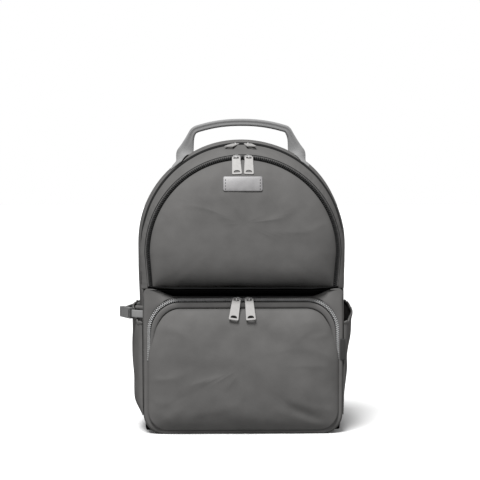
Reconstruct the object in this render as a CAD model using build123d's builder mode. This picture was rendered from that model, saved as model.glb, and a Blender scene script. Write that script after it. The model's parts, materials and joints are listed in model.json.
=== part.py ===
from build123d import *
from collections import namedtuple
from math import cos, radians, sin
import os

# A daypack with a front-opening top, two zipped front pockets, two open side pockets and padded straps.
# Millimetres, +Z up. The front faces -Y. The origin is the middle of the base, on the standing surface.

# Driving dimensions of the bag
BASE_HALF = 142.0           # half the width at the base
BASE_CORNER = 28.0          # radius of the bottom corners
BACK_Y = 75.0               # outer face of the back panel
BACK_THICK = 3.0
WALL = 2.0                  # lined fabric wall
SIDE_TOP_Z = 206.0          # top of the fixed lower half, where the top opening starts
FLAP_BASE_Z = 208.3         # lowest point of everything on the main flap
FRONT_Y = -58.0             # front face of the frame round the lower pocket
BELLY_Y = -80.0             # furthest forward part of the upper pocket

# Zips: tape, then coil, each split along the middle of the zip
TAPE_THICK = 0.8
COIL_THICK = 2.0
COIL_WIDTH = 1.4
COIL_GAP = 0.6              # from the middle of the zip to each coil
TAPE_WIDTH = 6.0
MAIN_COIL_INSET = 2.2       # the main zip's coil lies this far inside the bag's outline
SLIDER_MID_X = -1.0         # the closed sliders meet a little to the left
SLIDER_SPACING = 18.0

# One upright cross-section of the bag: a round top on straight sides
Ring = namedtuple("Ring", "y radius centre_z base_half")
REAR_RING = Ring(BACK_Y - BACK_THICK, 149.0, 265.0, BASE_HALF)
REAR_EDGE_RING = Ring(5.0, 145.5, 267.0, 143.0)
LOWER_FRONT_RING = Ring(FRONT_Y + WALL, 142.5, 265.0, 140.5)
MAIN_ZIP_RING = Ring(0.0, 145.0, 267.0, 143.5)
FLAP_REAR_RING = Ring(-5.0, 144.5, 267.0, 146.0)
FLAP_FRONT_RING = Ring(-42.0, 139.0, 257.0, 118.0)
UPPER_ZIP_RING = Ring(-42.0, 136.0, 257.0, 113.0)
TOP_OF_EVERYTHING = 500.0

# Lower pocket outline, along the middle of its zip
POCKET_HALF = 134.0
POCKET_BASE_Z = 7.0
POCKET_TOP_Z = 192.0
POCKET_TOP_CORNER = 45.0
POCKET_BASE_CORNER = 28.0
LOWER_FOLD_Z = 106.0        # the lower pocket's panel folds forward here

# Side pockets
SIDE_POCKET_IN_FRONT = 143.0
SIDE_POCKET_IN_REAR = 147.4
SIDE_POCKET_OUT = 155.5
SIDE_POCKET_BASE_Z = 38.0
SIDE_POCKET_WALL = 1.5

# Carry handle
HANDLE_Y = 42.0
HANDLE_TOP_Z = 448.0
GRIP_HALF = 72.0
GRIP_END_Z = 433.0
GRIP_THICK = 11.0

os.makedirs("parts", exist_ok=True)


def save(piece, name):
    """Label a finished piece and write it as its own STEP file."""
    piece.part.label = name
    export_step(piece.part, f"parts/{name}.step")


def front_plane(y):
    """Upright plane across the bag at depth y; its normal points forward."""
    return Plane.XZ.offset(-y)


def ring_face(ring, inset=0.0):
    """Face inside one cross-section of the bag, made smaller all round by inset."""
    radius = ring.radius - inset
    base_half = ring.base_half - inset
    with BuildSketch(front_plane(ring.y)) as face:
        with BuildLine():
            CenterArc((0, ring.centre_z), radius, 0, 180)
            Polyline((-radius, ring.centre_z), (-base_half, inset), (base_half, inset), (radius, ring.centre_z))
        make_face()
        fillet(face.vertices().group_by(Axis.Y)[0], BASE_CORNER - min(inset, BASE_CORNER - 1))
    return face.sketch


def pocket_face(y, inset=0.0):
    """Face inside the lower pocket's zip line at depth y, made smaller all round by inset."""
    height = POCKET_TOP_Z - POCKET_BASE_Z
    with BuildSketch(front_plane(y)) as face:
        with Locations((0, (POCKET_TOP_Z + POCKET_BASE_Z) / 2)):
            Rectangle(2 * (POCKET_HALF - inset), height - 2 * inset)
        fillet(face.vertices().group_by(Axis.Y)[-1], max(POCKET_TOP_CORNER - inset, 4))
        fillet(face.vertices().group_by(Axis.Y)[0], max(POCKET_BASE_CORNER - inset, 4))
    return face.sketch


def ring_wall(front, rear, wall):
    """Fabric wall lofted between two cross-sections, open at both ends."""
    with BuildPart() as tube:
        loft([ring_face(front), ring_face(rear)])
        loft([ring_face(front, wall), ring_face(rear, wall)], mode=Mode.SUBTRACT)
    return tube.part


def ring_band(ring, outer_inset, inner_inset, depth):
    """Closed band between two insets of a cross-section, running back from it by depth."""
    with BuildPart() as band:
        extrude(ring_face(ring, outer_inset), amount=-depth)
        extrude(ring_face(ring, inner_inset), amount=-depth, mode=Mode.SUBTRACT)
    return band.part


def pocket_band(y, outer_inset, inner_inset, depth):
    """Closed band between two insets of the lower pocket's outline, running back from y by depth."""
    with BuildPart() as band:
        extrude(pocket_face(y, outer_inset), amount=-depth)
        extrude(pocket_face(y, inner_inset), amount=-depth, mode=Mode.SUBTRACT)
    return band.part


def flap_ring(y):
    """Cross-section of the front gusset at depth y, between its rear and front edges."""
    share = (y - FLAP_REAR_RING.y) / (FLAP_FRONT_RING.y - FLAP_REAR_RING.y)
    sizes = [a + share * (b - a) for a, b in zip(FLAP_REAR_RING[1:], FLAP_FRONT_RING[1:])]
    return Ring(y, *sizes)


def height_band(low, high):
    """Large block between two heights, for cutting a wall to a stretch of its height."""
    with BuildPart() as band:
        with Locations((0, 0, (low + high) / 2)):
            Box(600, 600, high - low)
    return band.part


def keep_heights(part, low, high):
    """The stretch of a part between two heights."""
    with BuildPart() as stretch:
        add(part)
        add(height_band(low, high), mode=Mode.INTERSECT)
    return stretch.part


# ---------------------------------------------------------------- fixed shell

def build_back():
    """Back panel, its two spacer-mesh pads, and the yoke and wings that the straps are sewn to."""
    with BuildPart() as back_panel:
        extrude(ring_face(Ring(BACK_Y - BACK_THICK + 0.05, *REAR_RING[1:])), amount=-BACK_THICK)
    save(back_panel, "back_panel")

    pad_thick = 7.0
    for side, name in ((-1, "back_pad_left"), (1, "back_pad_right")):
        with BuildPart() as pad:
            with BuildSketch(front_plane(BACK_Y + 0.1)):
                with Locations((side * 66, 205)):
                    RectangleRounded(94, 262, 18)
            extrude(amount=-pad_thick)
            fillet(pad.faces().sort_by(Axis.Y)[-1].edges(), 4)
        save(pad, name)

    with BuildPart() as strap_yoke:
        with BuildSketch(front_plane(BACK_Y + 0.1)):
            with Locations((0, 374)):
                RectangleRounded(150, 34, 8)
        extrude(amount=-3)
    save(strap_yoke, "strap_yoke")

    for side, name in ((-1, "strap_wing_left"), (1, "strap_wing_right")):
        with BuildPart() as wing:
            with BuildSketch(front_plane(BACK_Y + 0.1)):
                with BuildLine():
                    Polyline(
                        (side * 136, 24), (side * 137, 62), (side * 116, 52), (side * 116, 36), close=True
                    )
                make_face()
            extrude(amount=-5)
        save(wing, name)


def build_lower_shell():
    """Side panels and base: one wall from the front frame to the back panel, cut into three pieces."""
    lower = ring_wall(LOWER_FRONT_RING, REAR_RING, WALL)
    # The base is sunk a little and cut off level with the floor, which leaves a true plane to stand on
    sink = 0.1
    with BuildPart() as base_panel:
        add(keep_heights(lower.moved(Location((0, 0, -sink))), 0, BASE_CORNER))
    save(base_panel, "base_panel")
    for side, name in ((-1, "side_panel_left"), (1, "side_panel_right")):
        with BuildPart() as side_panel:
            add(keep_heights(lower, BASE_CORNER, SIDE_TOP_Z))
            split(bisect_by=Plane.YZ, keep=Keep.TOP if side > 0 else Keep.BOTTOM)
        save(side_panel, name)


def build_rear_gusset():
    """Arch of the rear gusset, from the main zip back to the back panel."""
    with BuildPart() as rear_gusset:
        add(keep_heights(ring_wall(REAR_EDGE_RING, REAR_RING, WALL), SIDE_TOP_Z + 0.2, TOP_OF_EVERYTHING))
    save(rear_gusset, "rear_gusset")


def build_inside():
    """Stiffening board, laptop sleeve and the wall behind the lower pocket."""
    with BuildPart() as base_board:
        with Locations((0, 20, 4)):
            Box(220, 72, 3)
        fillet(base_board.edges().filter_by(Axis.Z), 10)
    save(base_board, "base_board")

    sleeve_depth = 12.0
    sleeve_height = 262.0
    with BuildPart() as laptop_sleeve:
        with Locations((0, REAR_RING.y - sleeve_depth / 2, 6 + sleeve_height / 2)):
            Box(256, sleeve_depth, sleeve_height)
        with Locations((0, REAR_RING.y - sleeve_depth / 2 + 1, 6 + sleeve_height / 2 + 2)):
            Box(252, sleeve_depth - 2, sleeve_height, mode=Mode.SUBTRACT)
    save(laptop_sleeve, "laptop_sleeve")

    # An upright wall behind the lower pocket, and the ceiling that closes the pocket's top
    wall_y = -20.0
    thick = 1.6
    ceiling_depth = wall_y - LOWER_FRONT_RING.y - 0.2
    with BuildPart() as pocket_divider:
        extrude(ring_face(Ring(wall_y, *LOWER_FRONT_RING[1:]), WALL + 0.5), amount=-thick)
        add(height_band(0, SIDE_TOP_Z - 1), mode=Mode.INTERSECT)
        with Locations((0, wall_y - ceiling_depth / 2, SIDE_TOP_Z - 1 - thick / 2)):
            Box(274, ceiling_depth, thick)
    save(pocket_divider, "pocket_divider")


def build_front_frame():
    """Front fabric round the lower pocket, and the fixed lower part of the pocket's own panel."""
    with BuildPart() as front_frame:
        extrude(ring_face(Ring(FRONT_Y, *LOWER_FRONT_RING[1:])), amount=-WALL + 0.05)
        extrude(pocket_face(FRONT_Y, -3), amount=-WALL, mode=Mode.SUBTRACT)
        add(height_band(0, SIDE_TOP_Z), mode=Mode.INTERSECT)
    save(front_frame, "front_frame")

    with BuildPart() as pocket_base:
        add(keep_heights(lower_pillow(), 0, LOWER_FOLD_Z - 0.5))
    save(pocket_base, "lower_pocket_base")


# ---------------------------------------------------------------- pocket panels

PANEL_WALL = 1.8
LOWER_LEVELS = ((3.5, -56.0), (3.5, -61.0), (12.0, -66.5), (34.0, -76.0), (56.0, -82.0))
UPPER_LEVELS = ((3.5, -43.0), (3.5, -48.0), (12.0, -55.5), (36.0, -69.0), (60.0, -78.0), (80.0, BELLY_Y))
UPPER_FOLD_Z = 212.5        # the upper pocket's panel folds forward here
PATCH_WIDTH = 56.0
PATCH_HEIGHT = 22.0
PATCH_THICK = 1.4
PATCH_CLEARANCE = 1.5       # the panel bulges by up to this between the patch's two edges
PATCH_HIGH_INSET = 26.0     # where the patch's two edges lie on the panel
PATCH_LOW_INSET = 48.0


def upper_depth(inset):
    """Depth of the upper panel's face at an inset of its outline."""
    for (near, near_y), (far, far_y) in zip(UPPER_LEVELS[1:], UPPER_LEVELS[2:]):
        if inset <= far:
            return near_y + (far_y - near_y) * (inset - near) / (far - near)
    return BELLY_Y


def stacked(faces):
    """Solid through a row of faces, straight from each to the next."""
    with BuildPart() as stack:
        for rear, front in zip(faces, faces[1:]):
            loft([rear, front])
    return stack.part


def lower_pillow():
    """Bulging panel of the lower pocket, open at the back."""
    outer = [pocket_face(y, inset) for inset, y in LOWER_LEVELS]
    inner = [pocket_face(y + (PANEL_WALL if i else 0), inset + PANEL_WALL)
             for i, (inset, y) in enumerate(LOWER_LEVELS)]
    with BuildPart() as pillow:
        add(stacked(outer))
        add(stacked(inner), mode=Mode.SUBTRACT)
    return pillow.part


def upper_pillow():
    """Bulging panel of the upper pocket, open at the back."""
    outer = [ring_face(Ring(y, *UPPER_ZIP_RING[1:]), inset) for inset, y in UPPER_LEVELS]
    inner = [ring_face(Ring(y + (PANEL_WALL if i else 0), *UPPER_ZIP_RING[1:]), inset + PANEL_WALL)
             for i, (inset, y) in enumerate(UPPER_LEVELS)]
    with BuildPart() as pillow:
        add(stacked(outer))
        add(stacked(inner), mode=Mode.SUBTRACT)
    return pillow.part


def build_pocket_panels():
    """The two panels that fold forward, and the leather patch on the upper one."""
    with BuildPart() as upper_panel:
        add(keep_heights(upper_pillow(), UPPER_FOLD_Z, TOP_OF_EVERYTHING))
    save(upper_panel, "upper_pocket_panel")

    with BuildPart() as lower_panel:
        add(keep_heights(lower_pillow(), LOWER_FOLD_Z + 0.5, TOP_OF_EVERYTHING))
    save(lower_panel, "lower_pocket_panel")

    # The patch lies on the sloping top of the upper panel, between two insets of its outline
    zip_top_z = UPPER_ZIP_RING.centre_z + UPPER_ZIP_RING.radius
    low = Vector(SLIDER_MID_X, upper_depth(PATCH_LOW_INSET), zip_top_z - PATCH_LOW_INSET)
    high = Vector(SLIDER_MID_X, upper_depth(PATCH_HIGH_INSET), zip_top_z - PATCH_HIGH_INSET)
    outward = Vector(1, 0, 0).cross((high - low).normalized())
    middle = (low + high) / 2 + outward * PATCH_CLEARANCE
    with BuildPart() as patch:
        with BuildSketch(Plane(origin=middle, x_dir=(1, 0, 0), z_dir=outward)):
            RectangleRounded(PATCH_WIDTH, PATCH_HEIGHT, 2)
        extrude(amount=PATCH_THICK)
    save(patch, "leather_patch")


# ---------------------------------------------------------------- main flap

def build_main_flap():
    """Front gusset, the wall between the two upper spaces, and the floor of the upper pocket."""
    with BuildPart() as front_gusset:
        add(keep_heights(ring_wall(FLAP_FRONT_RING, FLAP_REAR_RING, WALL), FLAP_BASE_Z, TOP_OF_EVERYTHING))
    save(front_gusset, "front_gusset")

    with BuildPart() as flap_divider:
        extrude(ring_face(flap_ring(-10.0), WALL + 0.6), amount=-1.6)
        add(height_band(FLAP_BASE_Z, TOP_OF_EVERYTHING), mode=Mode.INTERSECT)
    save(flap_divider, "flap_divider")

    half_plan = [(137, -10.4), (130, -42), (123, -50), (116, -62), (88, -77)]
    with BuildPart() as pocket_floor:
        with BuildSketch(Plane.XY.offset(FLAP_BASE_Z)):
            with BuildLine():
                Polyline(*half_plan, *[(-x, y) for x, y in reversed(half_plan)], close=True)
            make_face()
        extrude(amount=1.8)
    save(pocket_floor, "upper_pocket_floor")


# ---------------------------------------------------------------- zips

def build_main_zip():
    """Tapes and coils of the main zip, whose teeth face outwards from the gusset."""
    coil = (MAIN_COIL_INSET + COIL_THICK, MAIN_COIL_INSET)
    tape = (MAIN_COIL_INSET + COIL_THICK + TAPE_THICK, MAIN_COIL_INSET + COIL_THICK)
    tape_depth = 7.0
    halves = (
        ("main_zip_tape_rear", tape, COIL_GAP, tape_depth),
        ("main_zip_coil_rear", coil, COIL_GAP, 2 * COIL_WIDTH),
        ("main_zip_tape_front", tape, -COIL_GAP - tape_depth + 1, tape_depth - 1),
        ("main_zip_coil_front", coil, -COIL_GAP - 2 * COIL_WIDTH, 2 * COIL_WIDTH),
    )
    for name, (inner_inset, outer_inset), y, depth in halves:
        with BuildPart() as half:
            band = ring_band(Ring(y, *MAIN_ZIP_RING[1:]), outer_inset, inner_inset, depth)
            add(keep_heights(band, FLAP_BASE_Z, TOP_OF_EVERYTHING))
        save(half, name)


def build_upper_zip():
    """Tapes and coils of the upper pocket's zip, whose teeth face forward."""
    tape_ring = Ring(FLAP_FRONT_RING.y - 0.1 - TAPE_THICK, *UPPER_ZIP_RING[1:])
    coil_ring = Ring(tape_ring.y - COIL_THICK, *UPPER_ZIP_RING[1:])
    coil_edge = COIL_GAP + COIL_WIDTH
    halves = (
        ("upper_zip_tape_outer", tape_ring, -2.9, -COIL_GAP, TAPE_THICK, FLAP_BASE_Z),
        ("upper_zip_coil_outer", coil_ring, -coil_edge, -COIL_GAP, COIL_THICK, FLAP_BASE_Z),
        ("upper_zip_tape_inner", tape_ring, COIL_GAP, COIL_GAP + TAPE_WIDTH, TAPE_THICK, UPPER_FOLD_Z),
        ("upper_zip_coil_inner", coil_ring, COIL_GAP, coil_edge, COIL_THICK, UPPER_FOLD_Z),
    )
    for name, ring, outer_inset, inner_inset, depth, low in halves:
        with BuildPart() as half:
            add(keep_heights(ring_band(ring, outer_inset, inner_inset, depth), low, TOP_OF_EVERYTHING))
        save(half, name)


def build_lower_zip():
    """Tapes and coils of the lower pocket's zip, which runs over the top and down both sides."""
    tape_y = FRONT_Y + WALL + 0.1
    coil_y = tape_y - COIL_THICK
    coil_edge = COIL_GAP + COIL_WIDTH
    halves = (
        ("lower_zip_tape_outer", tape_y, -COIL_GAP - 3.6, -COIL_GAP, TAPE_THICK, LOWER_FOLD_Z + 0.5),
        ("lower_zip_coil_outer", coil_y, -coil_edge, -COIL_GAP, COIL_THICK, LOWER_FOLD_Z + 0.5),
        ("lower_zip_tape_inner", tape_y, COIL_GAP, COIL_GAP + TAPE_WIDTH, TAPE_THICK, LOWER_FOLD_Z + 0.5),
        ("lower_zip_coil_inner", coil_y, COIL_GAP, coil_edge, COIL_THICK, LOWER_FOLD_Z + 0.5),
    )
    for name, y, outer_inset, inner_inset, depth, low in halves:
        with BuildPart() as half:
            add(keep_heights(pocket_band(y, outer_inset, inner_inset, depth), low, TOP_OF_EVERYTHING))
        save(half, name)


# ---------------------------------------------------------------- sliders and pulls

PLATE = (8.0, 6.2, 1.8)      # along the zip, across it, and away from it
SLIDER_CLEARANCE = 0.4       # between the coils and a slider's plate
PIN_HEIGHT = 4.2             # from the plate's underside to the pin that carries the pull
PIN_RADIUS = 0.8
KNUCKLE_RADIUS = 1.9
KNUCKLE_BORE = 1.1
KNUCKLE_LENGTH = 4.0
POST_THICK = 1.1
PULL_THICK = 1.5
PULL_TOP_WIDTH = 11.0
PULL_TIP_WIDTH = 13.4


def build_slider(name, track):
    """Slider on a plane whose x runs along the zip and whose z points away from the coil."""
    post_x = KNUCKLE_LENGTH / 2 + 0.3 + POST_THICK / 2
    with BuildPart(track) as slider:
        with Locations((0, 0, PLATE[2] / 2)):
            Box(*PLATE)
        with Locations((-post_x, 0, (PIN_HEIGHT + 1) / 2), (post_x, 0, (PIN_HEIGHT + 1) / 2)):
            Box(POST_THICK, 2.6, PIN_HEIGHT + 1)
        with Locations((0, 0, PIN_HEIGHT)):
            Cylinder(PIN_RADIUS, 2 * post_x, rotation=(0, 90, 0))
    save(slider, name)


def build_pull(name, hinge, length):
    """Pull on a plane whose x is its hinge, whose y points back from its tip, and z out of its face."""
    with BuildPart(hinge) as pull:
        with BuildSketch(hinge.offset(-PULL_THICK / 2)):
            with BuildLine():
                Polyline(
                    (-KNUCKLE_LENGTH / 2, 0), (KNUCKLE_LENGTH / 2, 0), (KNUCKLE_LENGTH / 2, -3.2),
                    (PULL_TOP_WIDTH / 2, -4.5), (PULL_TIP_WIDTH / 2, -length),
                    (-PULL_TIP_WIDTH / 2, -length), (-PULL_TOP_WIDTH / 2, -4.5),
                    (-KNUCKLE_LENGTH / 2, -3.2), close=True,
                )
            make_face()
            # Half-round window near the tip
            with Locations((0, -length + 3.5)):
                SlotOverall(PULL_TIP_WIDTH - 4, 3.2, mode=Mode.SUBTRACT)
        extrude(amount=PULL_THICK)
        Cylinder(KNUCKLE_RADIUS, KNUCKLE_LENGTH, rotation=(0, 90, 0))
        Cylinder(KNUCKLE_BORE, KNUCKLE_LENGTH + 1, rotation=(0, 90, 0), mode=Mode.SUBTRACT)
    save(pull, name)


def place_pair(kind, track_at, forward_angle, length):
    """The two sliders of one zip with their pulls; track_at gives the track's plane at a distance."""
    for side, word in ((-1, "left"), (1, "right")):
        track = track_at(SLIDER_MID_X + side * SLIDER_SPACING / 2)
        build_slider(f"{kind}_slider_{word}", track)
        pin = track.offset(PIN_HEIGHT)
        build_pull(f"{kind}_pull_{word}", pin.rotated((forward_angle, 0, 0)), length)


def arc_track(centre_z, radius, y, faces_out):
    """Planes along a round zip: x is along it, z points away from its coil."""
    def at(distance):
        turn = distance / radius
        out = Vector(sin(turn), 0, cos(turn))
        along = Vector(cos(turn), 0, -sin(turn))
        origin = Vector(0, y, centre_z) + out * radius
        return Plane(origin=origin, x_dir=along, z_dir=out if faces_out else Vector(0, -1, 0))
    return at


def build_sliders():
    """Sliders and pulls of all three zips."""
    main_radius = MAIN_ZIP_RING.radius - MAIN_COIL_INSET + SLIDER_CLEARANCE
    place_pair("main", arc_track(MAIN_ZIP_RING.centre_z, main_radius, 0, True), 9.5, 27)
    upper_face_y = FLAP_FRONT_RING.y - 0.1 - TAPE_THICK - COIL_THICK
    upper_track = arc_track(UPPER_ZIP_RING.centre_z, UPPER_ZIP_RING.radius, upper_face_y - SLIDER_CLEARANCE, False)
    place_pair("upper", upper_track, -34, 27)

    def lower_track(distance):
        origin = (distance, FRONT_Y - SLIDER_CLEARANCE, POCKET_TOP_Z)
        return Plane(origin=origin, x_dir=(1, 0, 0), z_dir=(0, -1, 0))
    place_pair("lower", lower_track, -25, 30)


# ---------------------------------------------------------------- handle

def build_handle():
    """Webbing carry handle: a folded grip on two flat legs, and the patches its legs are sewn to."""
    leg_width = 20.0
    foot_x = 84.0
    foot_z = 370.0
    seat_radius = REAR_RING.radius + 4.5
    with BuildPart() as handle:
        with BuildSketch(front_plane(HANDLE_Y + 2)):
            for side in (-1, 1):
                with BuildLine():
                    Polyline(
                        (side * (GRIP_HALF + 2), GRIP_END_Z), (side * (foot_x + leg_width / 2 + 4), foot_z),
                        (side * (foot_x - leg_width / 2), foot_z),
                        (side * (GRIP_HALF - leg_width + 4), GRIP_END_Z - GRIP_THICK + 2), close=True,
                    )
                make_face()
            with Locations((0, REAR_RING.centre_z)):
                Circle(seat_radius, mode=Mode.SUBTRACT)
        extrude(amount=4)
        with BuildSketch(front_plane(HANDLE_Y + 6)):
            with BuildLine():
                ThreePointArc((-GRIP_HALF - 2, GRIP_END_Z), (0, HANDLE_TOP_Z), (GRIP_HALF + 2, GRIP_END_Z))
                Line((GRIP_HALF + 2, GRIP_END_Z), (GRIP_HALF - 4, GRIP_END_Z - GRIP_THICK + 2))
                ThreePointArc(
                    (GRIP_HALF - 4, GRIP_END_Z - GRIP_THICK + 2), (0, HANDLE_TOP_Z - GRIP_THICK),
                    (-GRIP_HALF + 4, GRIP_END_Z - GRIP_THICK + 2),
                )
                Line((-GRIP_HALF + 4, GRIP_END_Z - GRIP_THICK + 2), (-GRIP_HALF - 2, GRIP_END_Z))
            make_face()
        extrude(amount=12)
    save(handle, "carry_handle")

    with BuildPart() as anchors:
        with BuildSketch(front_plane(HANDLE_Y + 12)):
            with Locations((0, REAR_RING.centre_z)):
                Circle(REAR_RING.radius + 1.4)
                Circle(REAR_RING.radius + 0.2, mode=Mode.SUBTRACT)
            with Locations((0, REAR_RING.centre_z + 118)):
                Rectangle(200, 42, mode=Mode.INTERSECT)
            with Locations((0, REAR_RING.centre_z + 118)):
                Rectangle(140, 60, mode=Mode.SUBTRACT)
        extrude(amount=24)
    save(anchors, "handle_anchors")


# ---------------------------------------------------------------- side pockets and side strap

def build_side_pockets():
    """Open pocket on each side, with a hem that rises towards the back, and a tag in one seam."""
    plan = [(SIDE_POCKET_IN_FRONT, -50), (SIDE_POCKET_OUT - 2, -38),
            (SIDE_POCKET_OUT, 48), (SIDE_POCKET_IN_REAR, 66)]
    inner = [(SIDE_POCKET_IN_FRONT - 1, -48), (SIDE_POCKET_OUT - 2 - SIDE_POCKET_WALL, -37),
             (SIDE_POCKET_OUT - SIDE_POCKET_WALL, 47), (SIDE_POCKET_IN_REAR - 1, 64)]
    for side, name in ((-1, "side_pocket_left"), (1, "side_pocket_right")):
        with BuildPart() as pocket:
            with BuildSketch(Plane.XY.offset(SIDE_POCKET_BASE_Z)):
                with BuildLine():
                    Polyline(*[(side * x, y) for x, y in plan], close=True)
                make_face()
            extrude(amount=160)
            with BuildSketch(Plane.XY.offset(SIDE_POCKET_BASE_Z + SIDE_POCKET_WALL)):
                with BuildLine():
                    Polyline(*[(side * x, y) for x, y in inner], close=True)
                make_face()
            extrude(amount=160, mode=Mode.SUBTRACT)
            hem = Plane(origin=(0, -50, 159), x_dir=(1, 0, 0), z_dir=(0, -sin(radians(9)), cos(radians(9))))
            split(bisect_by=hem, keep=Keep.BOTTOM)
        save(pocket, name)

    with BuildPart() as side_tag:
        with Locations((142, FRONT_Y - 0.8, 120.5)):
            Box(9, 1.4, 31)
    save(side_tag, "side_tag")


STRAP_Z = 171.0
WEBBING_WIDTH = 11.0
WEBBING_THICK = 1.4
SEAM_POINT = Vector(-143.0, -53.0, STRAP_Z)
FEMALE_POINT = Vector(-158.5, -41.0, STRAP_Z)
BUCKLE_ALONG = Vector(-0.42, 0.9075, 0).normalized()
FEMALE_LENGTH = 22.0
MALE_LENGTH = 12.0
BUCKLE_WIDTH = 15.0
BUCKLE_THICK = 7.0


def run_plane(start, along):
    """Plane at start whose x is along a horizontal run, whose y is up and whose z points away sideways."""
    return Plane(origin=start, x_dir=along, z_dir=along.cross(Vector(0, 0, 1)))


def build_side_strap():
    """Short strap over the left pocket's mouth, with a side-release buckle."""
    with BuildPart() as front_webbing:
        run = FEMALE_POINT - SEAM_POINT
        with BuildSketch(run_plane(SEAM_POINT, run.normalized())):
            with Locations((run.length / 2, 0)):
                Rectangle(run.length, WEBBING_WIDTH)
        extrude(amount=WEBBING_THICK)
    save(front_webbing, "side_strap_front")

    body = run_plane(FEMALE_POINT + BUCKLE_ALONG * 0.8, BUCKLE_ALONG)
    mouth = 16.0
    with BuildPart(body) as female:
        with Locations((FEMALE_LENGTH / 2, 0, 0)):
            Box(FEMALE_LENGTH, BUCKLE_WIDTH, BUCKLE_THICK)
        with Locations((FEMALE_LENGTH - mouth / 2, 0, 0)):
            Box(mouth, BUCKLE_WIDTH - 3, BUCKLE_THICK - 2.6, mode=Mode.SUBTRACT)
        with Locations((3, 0, 0)):
            Box(2.2, WEBBING_WIDTH, BUCKLE_THICK, mode=Mode.SUBTRACT)
    save(female, "side_buckle_female")

    with BuildPart(body) as male:
        with Locations((FEMALE_LENGTH + 0.4 + MALE_LENGTH / 2, 0, 0)):
            Box(MALE_LENGTH, BUCKLE_WIDTH, BUCKLE_THICK)
        with Locations((FEMALE_LENGTH + MALE_LENGTH - 2.6, 0, 0)):
            Box(2.2, WEBBING_WIDTH, BUCKLE_THICK, mode=Mode.SUBTRACT)
        with Locations((FEMALE_LENGTH - 6, 4.2, 0), (FEMALE_LENGTH - 6, -4.2, 0)):
            Box(14, 2.4, 3.4)
    save(male, "side_buckle_male")

    end = body.origin + BUCKLE_ALONG * (FEMALE_LENGTH + MALE_LENGTH + 1.6)
    with BuildPart() as rear_webbing:
        last = Vector(-157.5, 54, STRAP_Z)
        run = last - end
        with BuildSketch(run_plane(end, run.normalized())):
            with Locations((run.length / 2, 0)):
                Rectangle(run.length, WEBBING_WIDTH)
        extrude(amount=WEBBING_THICK)
        home = Vector(-150.5, 67, STRAP_Z) - last
        with BuildSketch(run_plane(last, home.normalized())):
            with Locations((home.length / 2, 0)):
                Rectangle(home.length, WEBBING_WIDTH)
        extrude(amount=WEBBING_THICK)
    save(rear_webbing, "side_strap_rear")


# ---------------------------------------------------------------- shoulder straps

STRAP_TOP = Vector(44, 88, 386)
STRAP_FOOT = Vector(124, 84.5, 42)
PAD_THICK = 9.0
PAD_LENGTH = 245.0


def build_shoulder_straps():
    """Each strap: a curved pad, its webbing down to the wing, and the ladder lock between them."""
    for side, word in ((-1, "left"), (1, "right")):
        top = Vector(side * STRAP_TOP.X, STRAP_TOP.Y, STRAP_TOP.Z)
        foot = Vector(side * STRAP_FOOT.X, STRAP_FOOT.Y, STRAP_FOOT.Z)
        chord = foot - top
        along = chord.normalized()
        sideways = along.cross(Vector(0, 1, 0)).normalized()
        profile = Plane(origin=top, x_dir=along, z_dir=sideways)
        with BuildPart() as pad:
            with BuildSketch(profile):
                with BuildLine():
                    ThreePointArc((26, 5), (120, 22), (PAD_LENGTH, 12))
                    Line((PAD_LENGTH, 12), (PAD_LENGTH, 12 + PAD_THICK))
                    ThreePointArc((PAD_LENGTH, 12 + PAD_THICK), (120, 22 + PAD_THICK), (26, 5 + PAD_THICK))
                    Line((26, 5 + PAD_THICK), (26, 5))
                make_face()
            extrude(amount=27, both=True)
            with BuildSketch(profile):
                with BuildLine():
                    Polyline((2, -4), (30, 5.5), (30, 5.5 + PAD_THICK - 1), (2, 4), close=True)
                make_face()
            extrude(amount=14, both=True)
        save(pad, f"strap_pad_{word}")

        with BuildPart() as lock:
            with BuildSketch(profile):
                with Locations((PAD_LENGTH + 12, 15)):
                    Rectangle(20, 5)
            extrude(amount=15, both=True)
            with BuildSketch(profile):
                with Locations((PAD_LENGTH + 8, 15), (PAD_LENGTH + 16, 15)):
                    Rectangle(3, 5)
            extrude(amount=11, both=True, mode=Mode.SUBTRACT)
        save(lock, f"ladder_lock_{word}")

        end = chord.length
        with BuildPart() as webbing:
            with BuildSketch(profile):
                with BuildLine():
                    Polyline(
                        (PAD_LENGTH + 24, 14), (PAD_LENGTH + 24, 15.8), (end - 2, 1.8), (end - 2, 0), close=True
                    )
                make_face()
            extrude(amount=10, both=True)
        save(webbing, f"strap_webbing_{word}")


build_back()
build_lower_shell()
build_rear_gusset()
build_inside()
build_front_frame()
build_pocket_panels()
build_main_flap()
build_main_zip()
build_upper_zip()
build_lower_zip()
build_sliders()
build_handle()
build_side_pockets()
build_side_strap()
build_shoulder_straps()
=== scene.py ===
import bpy
import json
from collections import namedtuple
from math import cos, exp, hypot, pi, radians, sin, tau
from mathutils import Matrix, Vector, noise


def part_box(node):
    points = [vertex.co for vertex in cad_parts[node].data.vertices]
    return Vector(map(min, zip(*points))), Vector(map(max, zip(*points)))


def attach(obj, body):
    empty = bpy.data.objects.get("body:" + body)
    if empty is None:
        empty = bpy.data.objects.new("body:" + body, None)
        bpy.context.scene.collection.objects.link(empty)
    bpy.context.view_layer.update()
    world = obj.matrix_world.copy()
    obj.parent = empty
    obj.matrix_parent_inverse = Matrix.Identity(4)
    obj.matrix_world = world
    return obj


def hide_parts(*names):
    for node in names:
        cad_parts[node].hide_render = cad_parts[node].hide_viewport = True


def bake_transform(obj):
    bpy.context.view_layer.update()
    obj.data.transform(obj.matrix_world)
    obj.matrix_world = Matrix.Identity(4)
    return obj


# A grey fabric daypack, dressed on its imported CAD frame. Metres, +Z up, the front faces -Y.

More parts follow.
